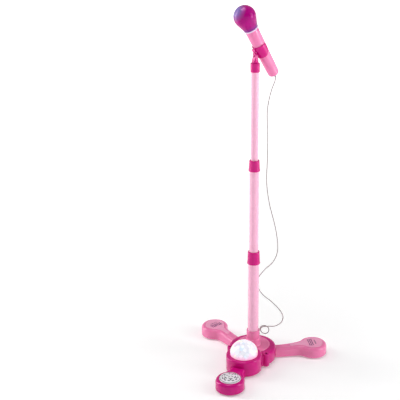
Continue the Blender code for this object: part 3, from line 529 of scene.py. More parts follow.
def skinned(loops, ring=False, bm=None):
    """Skin loops of equally many points."""
    bm = bm or bmesh.new()
    made = [[bm.verts.new(point) for point in loop] for loop in loops]
    pairs = list(zip(made, made[1:]))
    if ring:
        pairs.append((made[-1], made[0]))
    for low, high in pairs:
        for k in range(len(low)):
            n = (k + 1) % len(low)
            bm.faces.new((low[k], low[n], high[n], high[k]))
    if not ring:
        bm.faces.new(made[0])
        bm.faces.new(made[-1])
    return bm


def slab(outline, low, high, bevel=0.0, bm=None):
    """A plate with the outline, its upper edge softened by moving points towards the middle."""
    cx = sum(p[0] for p in outline) / len(outline)
    cy = sum(p[1] for p in outline) / len(outline)

    def moved(inset):
        points = []
        for x, y in outline:
            d = max(hypot(x - cx, y - cy), 1e-9)
            points.append((x - (x - cx) / d * inset, y - (y - cy) / d * inset))
        return points
    loops = [[(x, y, low) for x, y in outline], [(x, y, high - bevel) for x, y in outline]]
    if bevel:
        loops.append([(x, y, high - bevel * 0.3) for x, y in moved(bevel * 0.3)])
        loops.append([(x, y, high) for x, y in moved(bevel)])
    return skinned(loops, bm=bm)


def oblong(half_x, half_y, x=0.0, y=0.0):
    return [(x - half_x, y - half_y), (x + half_x, y - half_y), (x + half_x, y + half_y),
        (x - half_x, y + half_y)]


def move(bm, place):
    bmesh.ops.transform(bm, matrix=place, verts=bm.verts)


def cut(bm, place=None):
    return "DIFFERENCE", bm, place


def add(bm, place=None):
    return "UNION", bm, place


def helper(bm, place=None):
    """A temporary object for one boolean step."""
    bmesh.ops.recalc_face_normals(bm, faces=bm.faces)
    if place is not None:
        move(bm, place)
    mesh = bpy.data.meshes.new("tool")
    bm.to_mesh(mesh)
    bm.free()
    made = bpy.data.objects.new("tool", mesh)
    bpy.context.scene.collection.objects.link(made)
    return made


def carved(body, steps):
    """Apply boolean steps (operation, bmesh, place) to a bmesh and give the result as a bmesh."""
    target = helper(body)
    tools = []
    for operation, bm, place in steps:
        tool = helper(bm, place)
        tools.append(tool)
        modifier = target.modifiers.new("step", "BOOLEAN")
        modifier.operation = operation
        modifier.object = tool
        modifier.solver = "EXACT"
    graph = bpy.context.evaluated_depsgraph_get()
    result = bpy.data.meshes.new_from_object(target.evaluated_get(graph))
    out = bmesh.new()
    out.from_mesh(result)
    for old in [target] + tools:
        bpy.data.objects.remove(old)
    bpy.data.meshes.remove(result)
    return out


def at(x=0.0, y=0.0, z=0.0):
    return Matrix.Translation((x, y, z))


def heading_place(heading, x=0.0, z=0.0):
    return at(0, HUB_Y, 0) @ Matrix.Rotation(heading, 4, "Z") @ at(x, 0, z)


def out_place(heading, radius, height, centre_y=HUB_Y):
    """Z points out of a drum's wall along the heading; X is sideways and Y up."""
    out = Vector((cos(heading), sin(heading), 0.0))
    side = Vector((0, 0, 1)).cross(out)
    turn = Matrix((side, Vector((0, 0, 1)), out)).transposed().to_4x4()
    return at(*(Vector((0, centre_y, height)) + out * radius)) @ turn


MIC_PLACE = Matrix.Translation(MIC_BASE) @ Matrix((AWAY, ACROSS, ALONG)).transposed().to_4x4()
PIVOT_PLACE = Matrix.Translation(PIVOT) @ Matrix((AWAY, -ALONG, ACROSS)).transposed().to_4x4()


# ---- cord: the camera and the cord come first -------------------------------------------------
CORD_D = 0.0027
ROUTE = mm((35.3, 56.5, 785.9), (32.5, 59.2, 774), (23.5, 58.5, 748), (17.5, 56, 719), (15, 54, 690),
    (16.5, 55, 640), (17, 55, 570), (15.5, 54, 505), (23, 57, 443), (37.5, 63, 380), (45, 65.5, 333),
    (45.5, 64, 300), (36, 57, 273), (16.5, 44, 252), (2.5, 33.5, 230), (1, 33.5, 203), (12, 46.5, 174),
    (30, 66, 147.5), (47.5, 84, 118), (55.5, 96, 91), (48.5, 99.5, 67.5), (30, 99, 53.5), (10, 96, 50.5),
    (-5, 94.5, 46.5), (-11, 94.5, 37.5), (-8.5, 96.5, 28), (-0.5, 100, 23), (7.5, 104, 25.5),
    (10.5, 106.5, 33.5), (6.5, 107.5, 41.5), (-2.5, 107, 45), (-12, 106, 41.5), (-16.5, 105, 33.5),
    (-16.8, 102, 26.2), (-14.2, 95, 21.5), (-12.5, 85.6, 21))


def smooth_route(points, steps):
    route = [Vector(p) for p in points]
    route = [2 * route[0] - route[1]] + route + [2 * route[-1] - route[-2]]
    path = []
    for a, b, c, d in zip(route, route[1:], route[2:], route[3:]):
        for k in range(steps):
            t = k / steps
            path.append(0.5 * (2 * b + (c - a) * t + (2 * a - 5 * b + 4 * c - d) * t ** 2
                + (3 * b - 3 * c + d - a) * t ** 3))
    path.append(route[-2])
    return path


CORD_PATH = smooth_route(ROUTE, 10)


def path_frames(path):
    """Rotation-minimising side vectors along the path."""
    tangents = []
    for k in range(len(path)):
        a, b = path[max(k - 1, 0)], path[min(k + 1, len(path) - 1)]
        tangents.append((b - a).normalized())
    side = tangents[0].orthogonal().normalized()
    sides = []
    for k, t in enumerate(tangents):
        side = (side - t * side.dot(t)).normalized()
        sides.append(side.copy())
    return tangents, sides


TANGENTS, SIDES = path_frames(CORD_PATH)


def cord_piece(name, first, last):
    """One stretch of the cord as a tube; neighbouring stretches share their end rings."""
    sides, radius = 14, CORD_D / 2
    loops = []
    for k in range(first, last + 1):
        p, t, s = CORD_PATH[k], TANGENTS[k], SIDES[k]
        u = t.cross(s)
        loops.append([tuple(p + (s * cos(tau * j / sides) + u * sin(tau * j / sides)) * radius)
            for j in range(sides)])
    made = piece(name, skinned(loops), cord_grey, None, ("mic_cord",), angle=60)
    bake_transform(made)


def nearest_index(height):
    """Where the cord's long fall passes a height."""
    for k, p in enumerate(CORD_PATH):
        if p.z < height:
            return k
    return len(CORD_PATH) - 1


CUTS = [0] + [nearest_index(z) for z in (0.715, 0.62, 0.53, 0.3, 0.068)] + [len(CORD_PATH) - 1]
STRETCHES = [
    ("cord_at_microphone", "clip", "mic"), ("cord_below_clip", "adapter", "clip"),
    ("cord_behind_upper_pole", "upper", "adapter"), ("cord_behind_middle_pole", "middle", "upper"),
    ("cord_behind_lower_pole", "base", "middle"),
]
for k, (name, low_body, high_body) in enumerate(STRETCHES):
    cord_piece(name, CUTS[k], CUTS[k + 1])
cord_piece("cord_at_plug", CUTS[5], CUTS[6])

# ---- hub --------------------------------------------------------------------------------------
BOSS_AT = (0.0522, -0.0385)


def drum(radius, bottom, top, top_round, bottom_round, steps=8):
    profile = [(0.0, top)]
    profile += list(reversed(arc(radius - top_round, top - top_round, top_round, 0, 90, steps)))
    profile += list(reversed(arc(radius - bottom_round, bottom + bottom_round, bottom_round, -90, 0, 3)))
    profile += [(0.0, bottom)]
    return profile


def peg(radius, low, high):
    return [(0, low), (radius, low), (radius, high), (0, high)]


def hub_shell():
    lamp, bosses = at(0, LAMP_Y), [at(side * BOSS_AT[0], BOSS_AT[1]) for side in (-1, 1)]
    steps = [add(turned(drum(LAMP_DRUM_R, 0.0055, LAMP_DRUM_TOP, 0.0042, 0.0015), 112), lamp)]
    steps += [add(turned(drum(0.009, 0.006, 0.043, 0.0022, 0.001, 4), 40), boss) for boss in bosses]
    steps += [
        cut(turned(drum(DRUM_R - WALL, -0.001, DRUM_TOP - WALL, 0.005, 0.001), 128), at(0, HUB_Y)),
        cut(turned(drum(LAMP_DRUM_R - WALL, -0.002, LAMP_DRUM_TOP - WALL, 0.002, 0.001, 3), 112), lamp),
        cut(turned(peg(0.02, 0.03, 0.06), 64)),
        cut(turned(peg(0.033, 0.044, 0.06), 80), lamp)]
    # shallow groove that sets off the lamp's seat, then the holes over the tower screws
    seat = [(0.0398, LAMP_DRUM_TOP - 0.0006), (0.041, LAMP_DRUM_TOP - 0.0006),
        (0.0414, LAMP_DRUM_TOP + 0.002), (0.0394, LAMP_DRUM_TOP + 0.002)]
    steps.append(cut(turned(seat, 112), lamp))
    screw_hole = mm((0, 37.5), (3.6, 37.5), (4, 45), (0, 45))
    steps += [cut(turned(screw_hole, 28), boss) for boss in bosses]
    for heading in (radians(98), radians(118)):
        steps.append(cut(turned(peg(0.0045, -0.01, 0.01), 32), out_place(heading, DRUM_R, PANEL_Z)))
    window = slab(oblong(0.0062, 0.0026), -0.01, 0.01)
    steps.append(cut(window, out_place(radians(76), DRUM_R, PANEL_Z)))
    for heading in LEG_HEADINGS.values():
        front = heading < 0
        steps.append(cut(slab(oblong(*COUPLER_HALVES), -0.012, 0.008),
            out_place(heading, LAMP_DRUM_R if front else DRUM_R, COUPLER_Z, LAMP_Y if front else HUB_Y)))
    body = turned(drum(DRUM_R, 0.0065, DRUM_TOP, 0.0072, 0.0015), 128)
    move(body, at(0, HUB_Y))
    return carved(body, steps)


piece("hub_shell", hub_shell(), magenta, "base", ("hub_upper_shell",), angle=26)


def star(outer, inner, points=5, turn=0.0):
    out = []
    for k in range(points * 2):
        a = pi * k / points + turn
        q = outer if k % 2 == 0 else inner
        out.append((q * cos(a), q * sin(a)))
    return out


for side, label in ((-1, "left"), (1, "right")):
    screw = turned(soften(mm((0, 37.6), (3.2, 37.6), (3.2, 38.8), (1.8, 39.6), (0, 39.7)), 0.0003), 32)
    cross = [cut(slab(oblong(0.0018, 0.0003), 0.0388, 0.041), Matrix.Rotation(radians(turn), 4, "Z"))
        for turn in (20, 110)]
    piece(f"tower_screw_{label}", carved(screw, cross), steel, "base", (),
        place=at(side * BOSS_AT[0], BOSS_AT[1]), angle=35)


def crescent():
    trim = turned(soften(mm((22.9, 41), (47, 41), (46.6, 42.4), (44, 42.6), (30, 42.7), (22.9, 42.8)),
        0.0005), 128)
    steps = [cut(turned(peg(LAMP_DRUM_R + GAP, 0.03, 0.06), 112), at(0, LAMP_Y))]
    groove = mm((40, 42.1), (40.7, 42.1), (40.9, 44), (39.8, 44))
    steps.append(cut(turned(groove, 128)))
    return carved(trim, steps)


piece("hub_trim_crescent", crescent(), pink, "base", ("hub_trim_plate",), angle=28)


def turret():
    bore = 0.01495
    low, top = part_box("pole_socket")[0][2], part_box("pole_socket")[1][2]
    profile = [(0.0, 0.0342), (bore, 0.0342), (bore, top), (0.0171, top), (0.018, top - 0.0009),
        (0.018, top - 0.003), (0.0177, top - 0.0034), (0.0177, top - 0.004), (0.018, top - 0.0044),
        (0.018, 0.0642), (0.0173, 0.0634), (0.0173, 0.0624), (0.0188, 0.0616), (0.019, 0.06),
        (0.0196, 0.054), (0.0208, 0.0465), (0.0217, 0.0447), (0.0226, 0.044), (0.0226, 0.041),
        (0.0197, 0.041), (0.0195, 0.045), (0.0178, 0.056), (0.0168, 0.056), (0.0168, low), (0.0, low)]
    return turned(soften(profile, 0.0003), 96)


piece("pole_turret", turret(), pink, "base", ("pole_socket",))


def dome():
    """Smooth outside, cut into facets inside."""
    base = LAMP_LOW[2]
    rise = LAMP_HIGH[2] - base
    outer, inner = [], []
    for k in range(25):
        a = radians(90 * k / 24)
        outer.append((DOME_R * cos(a), base + 0.003 + (rise - 0.003) * sin(a)))
    for k in range(13):
        a = radians(90 * k / 12)
        inner.append(((DOME_R - 0.0018) * cos(a), base + 0.003 + (rise - 0.0048) * sin(a)))
    outer[-1], inner[-1] = (0.0, outer[-1][1]), (0.0, inner[-1][1])
    profile = list(reversed(outer)) + [(DOME_R, base + 0.0004), (DOME_R - 0.0004, base),
        (DOME_R - 0.0016, base)] + inner
    first_inner = len(outer) + 3
    heights = {round(h, 7): k for k, (q, h) in enumerate(profile) if k >= first_inner}

    def facet(a, radius, height):
        row = heights.get(round(height, 7))
        if row is None or radius < 0.004:
            return 0.0
        column = round(a / tau * 48)
        return -0.0007 if (row + column) % 2 else 0.0
    return turned(profile, 48, facet)


piece("lamp_dome_shell", dome(), dome_clear, "base", ("lamp_dome",), place=at(0, LAMP_Y),
    angle=12)
fluted = turned(soften(mm((10, 44.8), (25, 47.2), (32.2, 49.2), (35.6, 49.2), (35.6, 50.2), (31.8, 50.2),
    (28.5, 49.4), (24.5, 48.4), (18, 47), (10, 46)), 0.0002, 1), 144, lambda a, q, z: 0.0003 * cos(24 * a)
    if q < 0.031 else 0.0)
piece("lamp_reflector_dish", fluted, reflector, "base", ("lamp_reflector",),
    place=at(0, LAMP_Y))

# ---- legs -------------------------------------------------------------------------------------
NECK = {"front": 0.02, "right": 0.0165, "left": 0.0165}
PEDAL_INSET = 0.0105
PEDAL_TAIL = 0.06
NECK_DROP = 0.0045


def leg_outline(half, inset, root):
    """Spoon-shaped outline; X runs outward from the hub's centre."""
    neck, foot = half - inset, FOOT_R - inset
    fillet, across = 0.03 + inset, half + 0.03
    fillet_x = LEG_REACH - sqrt((FOOT_R + 0.03) ** 2 - across ** 2)
    touch = degrees(atan2(across, LEG_REACH - fillet_x))
    lower = arc(fillet_x, -across, fillet, 90, touch, 12)
    disc = arc(LEG_REACH, 0, foot, touch - 180, 180 - touch, 64)[1:-1]
    upper = [(x, -y) for x, y in reversed(lower)]
    if root[0] == "wall":
        spread = degrees(asin(neck / root[2]))
        end = arc(root[1], 0, root[2], spread, -spread, 12)
    else:
        end = arc(root[1], 0, neck, 90, 270, 12)
    # a few points along the straight neck, so that its top can slope
    first, last = end[-1], lower[0]
    straight = [(first[0] + (last[0] - first[0]) * k / 6, first[1] + (last[1] - first[1]) * k / 6)
        for k in range(1, 6)]
    back = [(x, -y) for x, y in reversed(straight)]
    return end + straight + lower + disc + upper + back


def neck_top(x, front):
    """How far the top is below the foot's at a distance from the hub's centre."""
    if front:
        return 0.0
    t = min(max((x - 0.085) / 0.055, 0.0), 1.0)
    return NECK_DROP * (1 - t * t * (3 - 2 * t))


def raised(outline, height, front):
    share = min(max((height - LEG_BOTTOM - 0.01) / (LEG_TOP - LEG_BOTTOM - 0.01), 0.0), 1.0)
    return [(x, y, height - neck_top(x, front) * share) for x, y in outline]


def leg(side, heading):
    front = side == "front"
    half = NECK[side]
    wall_x = (HUB_Y - LAMP_Y) if front else 0.0
    wall_r = (LAMP_DRUM_R if front else DRUM_R) + GAP
    finish = magenta if front else pink
    place = heading_place(heading)

    def outline(inset, extra=0.0):
        return leg_outline(half, inset, ("wall", wall_x, wall_r + extra))

    def opening(inset):
        if front:
            points = []
            for x, y in outline(0.0):
                a = atan2(y, x - LEG_REACH)
                points.append((LEG_REACH + (0.0289 + inset) * cos(a), (0.0289 + inset) * sin(a)))
            return points
        return leg_outline(half, PEDAL_INSET - 0.0004 - inset, ("tail", LEG_REACH - PEDAL_TAIL))

    outer = [(0.0004, LEG_BOTTOM), (0.0, LEG_BOTTOM + 0.0005), (0.0, 0.0105), (0.00035, 0.0108),
        (0.00035, 0.0113), (0.0, 0.0116), (0.0, 0.023)]
    outer += [(0.0088 - 0.0088 * cos(radians(a)), 0.0237 + 0.0088 * sin(radians(a))) for a in (12, 24, 36,
        48, 60, 72, 82)]
    loops = [raised(outline(inset, max(inset - 0.0045, 0.0)), height, front) for inset, height in outer]
    loops += [raised(opening(0.0006), LEG_TOP, front), raised(opening(0.0001), LEG_TOP - 0.0003, front),
        raised(opening(0.0), LEG_TOP - 0.0008, front), raised(opening(0.0), LEG_TOP - 0.0022, front)]
    loops += [raised(outline(inset, 0.0022), height, front) for inset, height in ((0.0072, 0.0292),
        (0.004, 0.0268), (0.0022, 0.023), (0.0022, LEG_BOTTOM))]
    shell = skinned(loops, ring=True)
    move(shell, place)
    shell = carved(shell, [cut(slab(oblong(*COUPLER_HALVES), -0.004, 0.01), out_place(heading, wall_r,
        COUPLER_Z, LAMP_Y if front else HUB_Y))])
    piece(f"leg_{side}", shell, finish, "base", (f"leg_shell_{side}",), angle=28)
    body = f"pedal_{side}_body"
    if front:
        button(place @ at(LEG_REACH), body)
    else:
        tail = ("tail", LEG_REACH - PEDAL_TAIL)
        steps = [(PEDAL_INSET - 0.0018, 0.0278), (PEDAL_INSET - 0.0018, 0.0292), (PEDAL_INSET, 0.0294),
            (PEDAL_INSET, 0.0324), (PEDAL_INSET + 0.0003, 0.033), (PEDAL_INSET + 0.0009, 0.0334),
            (PEDAL_INSET + 0.002, 0.0336), (PEDAL_INSET + 0.0032, 0.0336), (PEDAL_INSET + 0.0036, 0.0334),
            (PEDAL_INSET + 0.0046, 0.0334), (PEDAL_INSET + 0.0055, 0.0335)]
        cap = skinned([raised(leg_outline(half, inset, tail) if inset < 0.015 else leg_outline(half,
            min(inset, 0.0158), tail), z, front) for inset, z in steps])
        move(cap, place)
        post = turned(peg(0.006, 0.0273, 0.029), 24)
        cap = carved(cap, [add(post, place @ at(LEG_REACH))])
        # The pad's paler pink is painted light on the leg's top.
        piece(f"pedal_pad_{side}", cap, pink_pedal_painted_lit_top, body, (f"pedal_{side}",), angle=28)
        marks(side, place @ at(LEG_REACH), body)
    foot = turned(soften(mm((0, 0.6), (5, 0.6), (5.6, 0), (10, 0), (10.6, 0.7), (13, 0.7), (13.6, 0),
        (18, 0), (18.6, 0.7), (20.6, 0.7), (21.2, 0), (23.3, 0), (24, 0.8), (24, 3.7), (0, 3.7)), 0.0002,
        1), 64)
    piece(f"foot_rubber_{side}", foot, black_rubber, "base", (f"foot_pad_{side}",),
        place=place @ at(LEG_REACH))


def marks(side, place, body):
    """Generic printed marks on a side pedal: rows of short bars and a row of stars."""
    bm = bmesh.new()
    for row, x in enumerate((-0.012, -0.007, -0.002)):
        for k in range(6):
            y = -0.015 + 0.006 * k
            length = (0.002, 0.0026, 0.0015)[(k + row) % 3]
            slab(oblong(0.0014, length, x, y), 0.03345, 0.0337, bm=bm)
    piece(f"pedal_bars_{side}", bm, ink_purple, body, (), place=place)
    bm = bmesh.new()
    for k in range(4):
        slab([(0.0062 + p[0], -0.009 + 0.006 * k + p[1]) for p in star(0.0026, 0.0012)], 0.03345, 0.03368,
            bm=bm)
    piece(f"pedal_stars_{side}", bm, grey_ink_and_painted_shadow, body, (), place=place)


def button(place, body):
    """White domed foot button with a raised rim, a generic printed pattern and a dark grey ring painted
    round its edge as the shadow of the gap.
    """
    crown = [(0.0, 0.0408)]
    for k in range(1, 15):
        q = 0.0275 * k / 14
        crown.append((q, 0.0408 - 0.0071 * (q / 0.0275) ** 2.25))
    crown += mm((28.2, 32.9), (28.5, 31.9), (28.5, 29.4), (30, 29.2), (30, 27.8), (26.5, 27.8), (26.5, 32),
        (6, 38.3), (6, 27.3), (0, 27.3))
    piece("pedal_button_front", turned(crown, 96), white, body, ("pedal_front",),
        place=place)

    def z_at(q):
        return 0.0408 - 0.0071 * (min(q, 0.0275) / 0.0275) ** 2.25

    def band(bm, r0, r1, a0, a1, steps=8, lift=0.00018):
        """A thin arc that follows the crown: printed marks, and at the edge a painted shadow ring."""
        loops = []
        for k in range(steps + 1):
            a = radians(a0 + (a1 - a0) * k / steps)
            ring = []
            for q, dz in ((r0, -0.0003), (r1, -0.0003), (r1, lift), (r0, lift)):
                ring.append((q * cos(a), q * sin(a), z_at(q) + dz))
            loops.append(ring)
        skinned(loops, bm=bm)
    bm = bmesh.new()
    for k in range(12):
        band(bm, 0.0198, 0.022, 30 * k + 4, 30 * k + 21, 4)
    for k in range(6):
        band(bm, 0.0136, 0.0156, 60 * k + 8, 60 * k + 46, 5)
        band(bm, 0.0162, 0.0192, 60 * k + 22, 60 * k + 31, 2)
    for k in range(5):
        band(bm, 0.0046, 0.0096, 72 * k - 7, 72 * k + 7, 2)
    # Dark grey ring round the button's edge: a painted shadow of the gap between button and leg.
    band(bm, 0.0262, 0.0271, 0, 360, 72)
    piece("button_print_and_gap_shadow_grey", bm, grey_ink_and_painted_shadow, body, (), place=place)
    bm = bmesh.new()
    band(bm, 0.0234, 0.0252, 128, 232, 16)
    band(bm, 0.0098, 0.0116, 140, 220, 10)
    piece("button_print_pink", bm, ink_pink, body, (), place=place)


for leg_side, leg_heading in LEG_HEADINGS.items():
    leg(leg_side, leg_heading)


def return_dome(side):
    """Hollow-looking rubber dome with a ribbed skirt."""
    low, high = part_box(f"return_dome_{side}")
    centre = Vector(((low[0] + high[0]) / 2, (low[1] + high[1]) / 2, 0.0))
    rise = high[2] - low[2]
    profile = [(0.0, low[2]), (0.0104, low[2]), (0.0105, low[2] + 0.0012), (0.0098, low[2] + 0.0018)]
    for k in range(7):
        t = k / 6
        q = 0.0082 - 0.0026 * t
        z = low[2] + 0.0026 + (rise - 0.006) * t
        profile += [(q, z), (q - 0.0003, z + 0.0006), (q - 0.0003, z + 0.0012), (q - 0.0002, z + 0.0016)]
    profile += [(0.0052, high[2] - 0.0012), (0.0044, high[2] - 0.0003), (0.0036, high[2] - 0.0001),
        (0.0, high[2] - 0.0001)]
    made = piece(f"spring_dome_{side}", turned(profile, 40), grey_rubber, "base", (f"return_dome_{side}",),
        place=Matrix.Translation(centre))
    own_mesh(made)


for leg_side in LEG_HEADINGS:
    return_dome(leg_side)

# ---- pole -------------------------------------------------------------------------------------
def tube_piece(name, node, body, radius, wall, bottom, top, bush=0.0, rings=()):
    profile = [(radius - wall, bottom), (radius + bush, bottom)]
    if bush:
        for k in range(4):
            z = bottom + 0.002 + 0.0025 * k
            profile += [(radius + bush, z), (radius + bush - 0.0003, z + 0.0004),
                (radius + bush - 0.0003, z + 0.001), (radius + bush, z + 0.0014)]
        profile += [(radius + bush, bottom + 0.012), (radius, bottom + 0.013)]
    z = bottom + 0.03
    while z < top - 0.04:
        profile.append((radius, z))
        z += 0.03
    for low, high, depth in rings:
        profile += [(radius, low), (radius - depth, low + 0.0003), (radius - depth, high - 0.0003),
            (radius, high)]
    profile += [(radius, top - 0.001), (radius - 0.0006, top), (radius - wall, top)]
    piece(name, turned(profile, 96), tube_pink, body, (node,))


tube_piece("pole_lower", "lower_tube", "base", 0.01465, 0.0014, *span("lower_tube", 2))
tube_piece("pole_middle", "middle_tube", "middle", 0.0123, 0.0012, *span("middle_tube", 2), bush=0.0006,
    rings=((0.5462, 0.5472, 0.0003),))
TOP_OF_POLE = span("clip_adapter", 2)[0]
tube_piece("pole_upper", "upper_tube", "upper", 0.0098, 0.0011, *span("upper_tube", 2), bush=0.0009,
    rings=((TOP_OF_POLE - 0.0165, TOP_OF_POLE - 0.0153, 0.0004), (TOP_OF_POLE - 0.0125, TOP_OF_POLE - 0.011,
    0.0005), (TOP_OF_POLE - 0.008, TOP_OF_POLE - 0.0068, 0.0004)))


def lock_piece(name, node, body, step, grip, shoulder, lip, waist, top_r):
    bottom, top = span(node, 2)
    rise = top - bottom
    profile = [(step, bottom), (lip - 0.0006, bottom), (lip, bottom + 0.0007), (lip, bottom + 0.0035),
        (lip - 0.0004, bottom + 0.0042), (waist + 0.0002, bottom + 0.0052)]
    for k in range(1, 9):
        t = k / 8
        profile.append((waist + (top_r - waist) * t, bottom + 0.0056 + (rise - 0.0076) * t))
    profile += [(top_r - 0.0003, top - 0.0008), (top_r - 0.0011, top), (grip, top), (grip, shoulder),
        (step, shoulder)]

    def flutes(a, q, z):
        if q < top_r - 0.00005 or q > waist + 0.0001:
            return 0.0
        share = min(max((z - bottom - 0.0075) / 0.002, 0.0), 1.0) * min(max((top - 0.004 - z) / 0.002, 0.0),
            1.0)
        return -0.00028 * share * (0.5 + 0.5 * cos(30 * a))
    piece(name, turned(profile, 240, flutes), magenta_pole, body, (node,), angle=40)


lock_piece("lock_lower", "lower_lock_ring", "lower_ring", 0.01495, 0.0126, span("lower_tube", 2)[1] + GAP,
    0.0178, 0.017, 0.0158)
lock_piece("lock_upper", "upper_lock_ring", "upper_ring", 0.0126, 0.0101, span("middle_tube", 2)[1] + GAP,
    0.0153, 0.0146, 0.0134)

# ---- adapter, rivet and clip ------------------------------------------------------------------
LEAN = atan2(ALONG.y, ALONG.x)
ADAPTER_LOW, ADAPTER_HIGH = span("clip_adapter", 2)


def adapter():
    place = Matrix.Rotation(LEAN, 4, "Z")
    shoulder = 0.0212
    rows = [(0.0, 0.0114, 0.0114, 1.0), (0.0004, 0.0118, 0.0118, 1.0), (0.001, 0.0119, 0.0119, 1.0),
        (0.01, 0.0119, 0.0119, 1.0), (shoulder - 0.0004, 0.0119, 0.0119, 1.0), (shoulder + 0.0004, 0.0118,
        0.0118, 1.0), (shoulder + 0.0011, 0.0113, 0.0113, 1.0), (shoulder + 0.0016, 0.0102, 0.0104, 0.95),
        (shoulder + 0.0019, 0.0085, 0.0089, 0.88), (shoulder + 0.0025, 0.0077, 0.0083, 0.75),
        (0.0266, 0.0066, 0.0075, 0.45), (0.0296, 0.006, 0.0069, 0.32), (0.0326, 0.0055, 0.0063, 0.2),
        (0.0352, 0.0048, 0.0058, 0.12), (0.0376, 0.0043, 0.0054, 0.05), (0.04, 0.0038, 0.0053, 0.02),
        (0.0436, 0.0034, 0.0052, 0.0)]
    for k in range(1, 9):
        a = radians(11.25 * k)
        rows.append((0.0436 + 0.0034 * sin(a), max(0.0034 * cos(a), 0.0003), 0.0052, 0.0))
    loops = []
    for height, half_x, half_y, roundness in rows:
        loop = []
        for k in range(96):
            a = tau * k / 96
            c, s = cos(a), sin(a)
            reach = roundness + (1 - roundness) * min(1.0 / max(abs(c), abs(s)), 1.34)
            loop.append((half_x * reach * c, half_y * reach * s, ADAPTER_LOW + height))
        loops.append(loop)
    body = skinned(loops)
    move(body, place)
    groove = [(0.0116, ADAPTER_LOW + 0.0045), (0.0125, ADAPTER_LOW + 0.004), (0.0125, ADAPTER_LOW + 0.006),
        (0.0116, ADAPTER_LOW + 0.0055)]
    return carved(body, [
        cut(turned(peg(0.0101, ADAPTER_LOW - 0.01, 0.8175), 64)),
        cut(turned(groove, 96)),
        cut(slab(oblong(0.02, 0.0028), 0.844, 0.87), place),
        cut(turned(peg(0.0017, -0.02, 0.02), 24), PIVOT_PLACE)])


piece("fork_adapter", adapter(), magenta_pole, "adapter", ("clip_adapter",), angle=28)
rivet = mm((0, -7.1), (1, -7.05), (2, -6.7), (2.7, -6.1), (2.8, -5.5), (1.4, -5.5), (1.4, 5.5), (3, 5.5),
    (2.9, 6.2), (2.1, 7), (1, 7.3), (0, 7.3))
piece("tilt_rivet", turned(rivet, 40), lacquered_steel, "adapter", ("pivot_rivet",),
    place=PIVOT_PLACE)


TAIL_R, MOUTH_R = 0.01445, 0.0172
BARREL_TAIL, BARREL_LENGTH = -0.082, 0.142


def barrel_radius(s):
    return TAIL_R + (MOUTH_R - TAIL_R) * (s - BARREL_TAIL) / BARREL_LENGTH


CLIP_HALF = 0.016
CLIP_TIP, CLIP_HIGH_TURN, CLIP_LOW_TURN = (radians(a) for a in (60, 68, 125))


def clip_edges(angle):
    """Lower and upper edge of an arm of the clip at an angle from the middle of the opening."""
    low_turn = max(0.0, min((CLIP_LOW_TURN - angle) / (CLIP_LOW_TURN - CLIP_TIP), 1.0))
    high_turn = max(0.0, min((CLIP_HIGH_TURN - angle) / (CLIP_HIGH_TURN - CLIP_TIP), 1.0))
    low = -CLIP_HALF + 0.022 * (1.0 - sqrt(1.0 - low_turn ** 2))
    high = CLIP_HALF - 0.006 * (1.0 - sqrt(1.0 - high_turn ** 2))
    return low, high


def clip():
    """Two rounded arms with softened rims, a back rib and the lug in the fork."""
    half_turn = [60, 60.15, 60.5, 61.1, 62, 63.2, 64.6, 66.2, 68] + [68 + 3.2 * k for k in range(1, 35)]
    half_turn = [radians(a) for a in half_turn]
    loops = []
    for angle in half_turn + [pi] + [tau - a for a in reversed(half_turn)]:
        near = min(angle, tau - angle)
        low, high = clip_edges(near)
        c, s = cos(angle), sin(angle)
        swell = 0.0002 if near > radians(62) else 0.0002 * (degrees(near) - 60) / 2
        loop = []
        for height, radius in ((low + 0.0002, barrel_radius(low) + 0.0004),
                (low, barrel_radius(low) + 0.0007), (low, 0.0176), (low + 0.0002, 0.018),
                (low + 0.0008, 0.0182 + swell), (low + 0.002, 0.0182 + swell),
                (low + 0.0023, 0.018 + swell), (high - 0.0023, 0.0181 + swell),
                (high - 0.002, 0.0184 + swell), (high - 0.0008, 0.0184 + swell), (high - 0.0002, 0.0182),
                (high, 0.0178), (high, barrel_radius(high) + 0.0007),
                (high - 0.0002, barrel_radius(high) + 0.0004)):
            loop.append((radius * c, radius * s, height))
        loops.append(loop)
    band = skinned(loops)
    bmesh.ops.recalc_face_normals(band, faces=band.faces)
    move(band, MIC_PLACE)
    lug = turned(soften(peg(0.004, -0.0025, 0.0025), 0.0004), 48)
    rib = mm((-24, -2.8), (-17.8, -4), (-17.8, 15), (-22.2, 15.8), (-23.4, 15.4), (-24, 14.3))
    return carved(band, [
        add(lug, PIVOT_PLACE),
        add(slab(rib, -0.0024, 0.0024), MIC_PLACE @ Matrix.Rotation(radians(90), 4, "X")),
        cut(turned(peg(0.0017, -0.01, 0.01), 24), PIVOT_PLACE)])


piece("snap_clip", clip(), magenta_pole, "clip", ("mic_clip",), angle=32)


# ---- microphone -------------------------------------------------------------------------------
def barrel():
    tail, top, wall = BARREL_TAIL, BARREL_TAIL + BARREL_LENGTH, 0.002
    profile = [(0.0031, tail)] + arc(0.00545, tail + 0.009, 0.009, -90, 0, 12)
    for s in (-0.06, -0.05, -0.04, -0.03, -0.02, -0.01, 0.0, 0.01, 0.02, 0.03, 0.04, 0.048):
        profile.append((barrel_radius(s), s))
    profile += [(barrel_radius(0.05), 0.05), (barrel_radius(0.0503) - 0.0003, 0.0503),
        (barrel_radius(0.0511) - 0.0003, 0.0511), (barrel_radius(0.0514), 0.0514), (0.0171, 0.0592),
        (0.0168, top), (0.0152, top), (barrel_radius(-0.06) - wall, -0.06), (0.00545, tail + wall),
        (0.0031, tail + wall)]

    def rails(a, q, z):
        """Two fine moulding lines along the barrel."""
        if q < 0.0143 or z > 0.049 or z < -0.066:
            return 0.0
        near = min(abs(((a - b + pi) % tau) - pi) for b in (radians(90), radians(270)))
        return -0.00022 if near < radians(1.6) else 0.0
    return turned(profile, 144, rails)


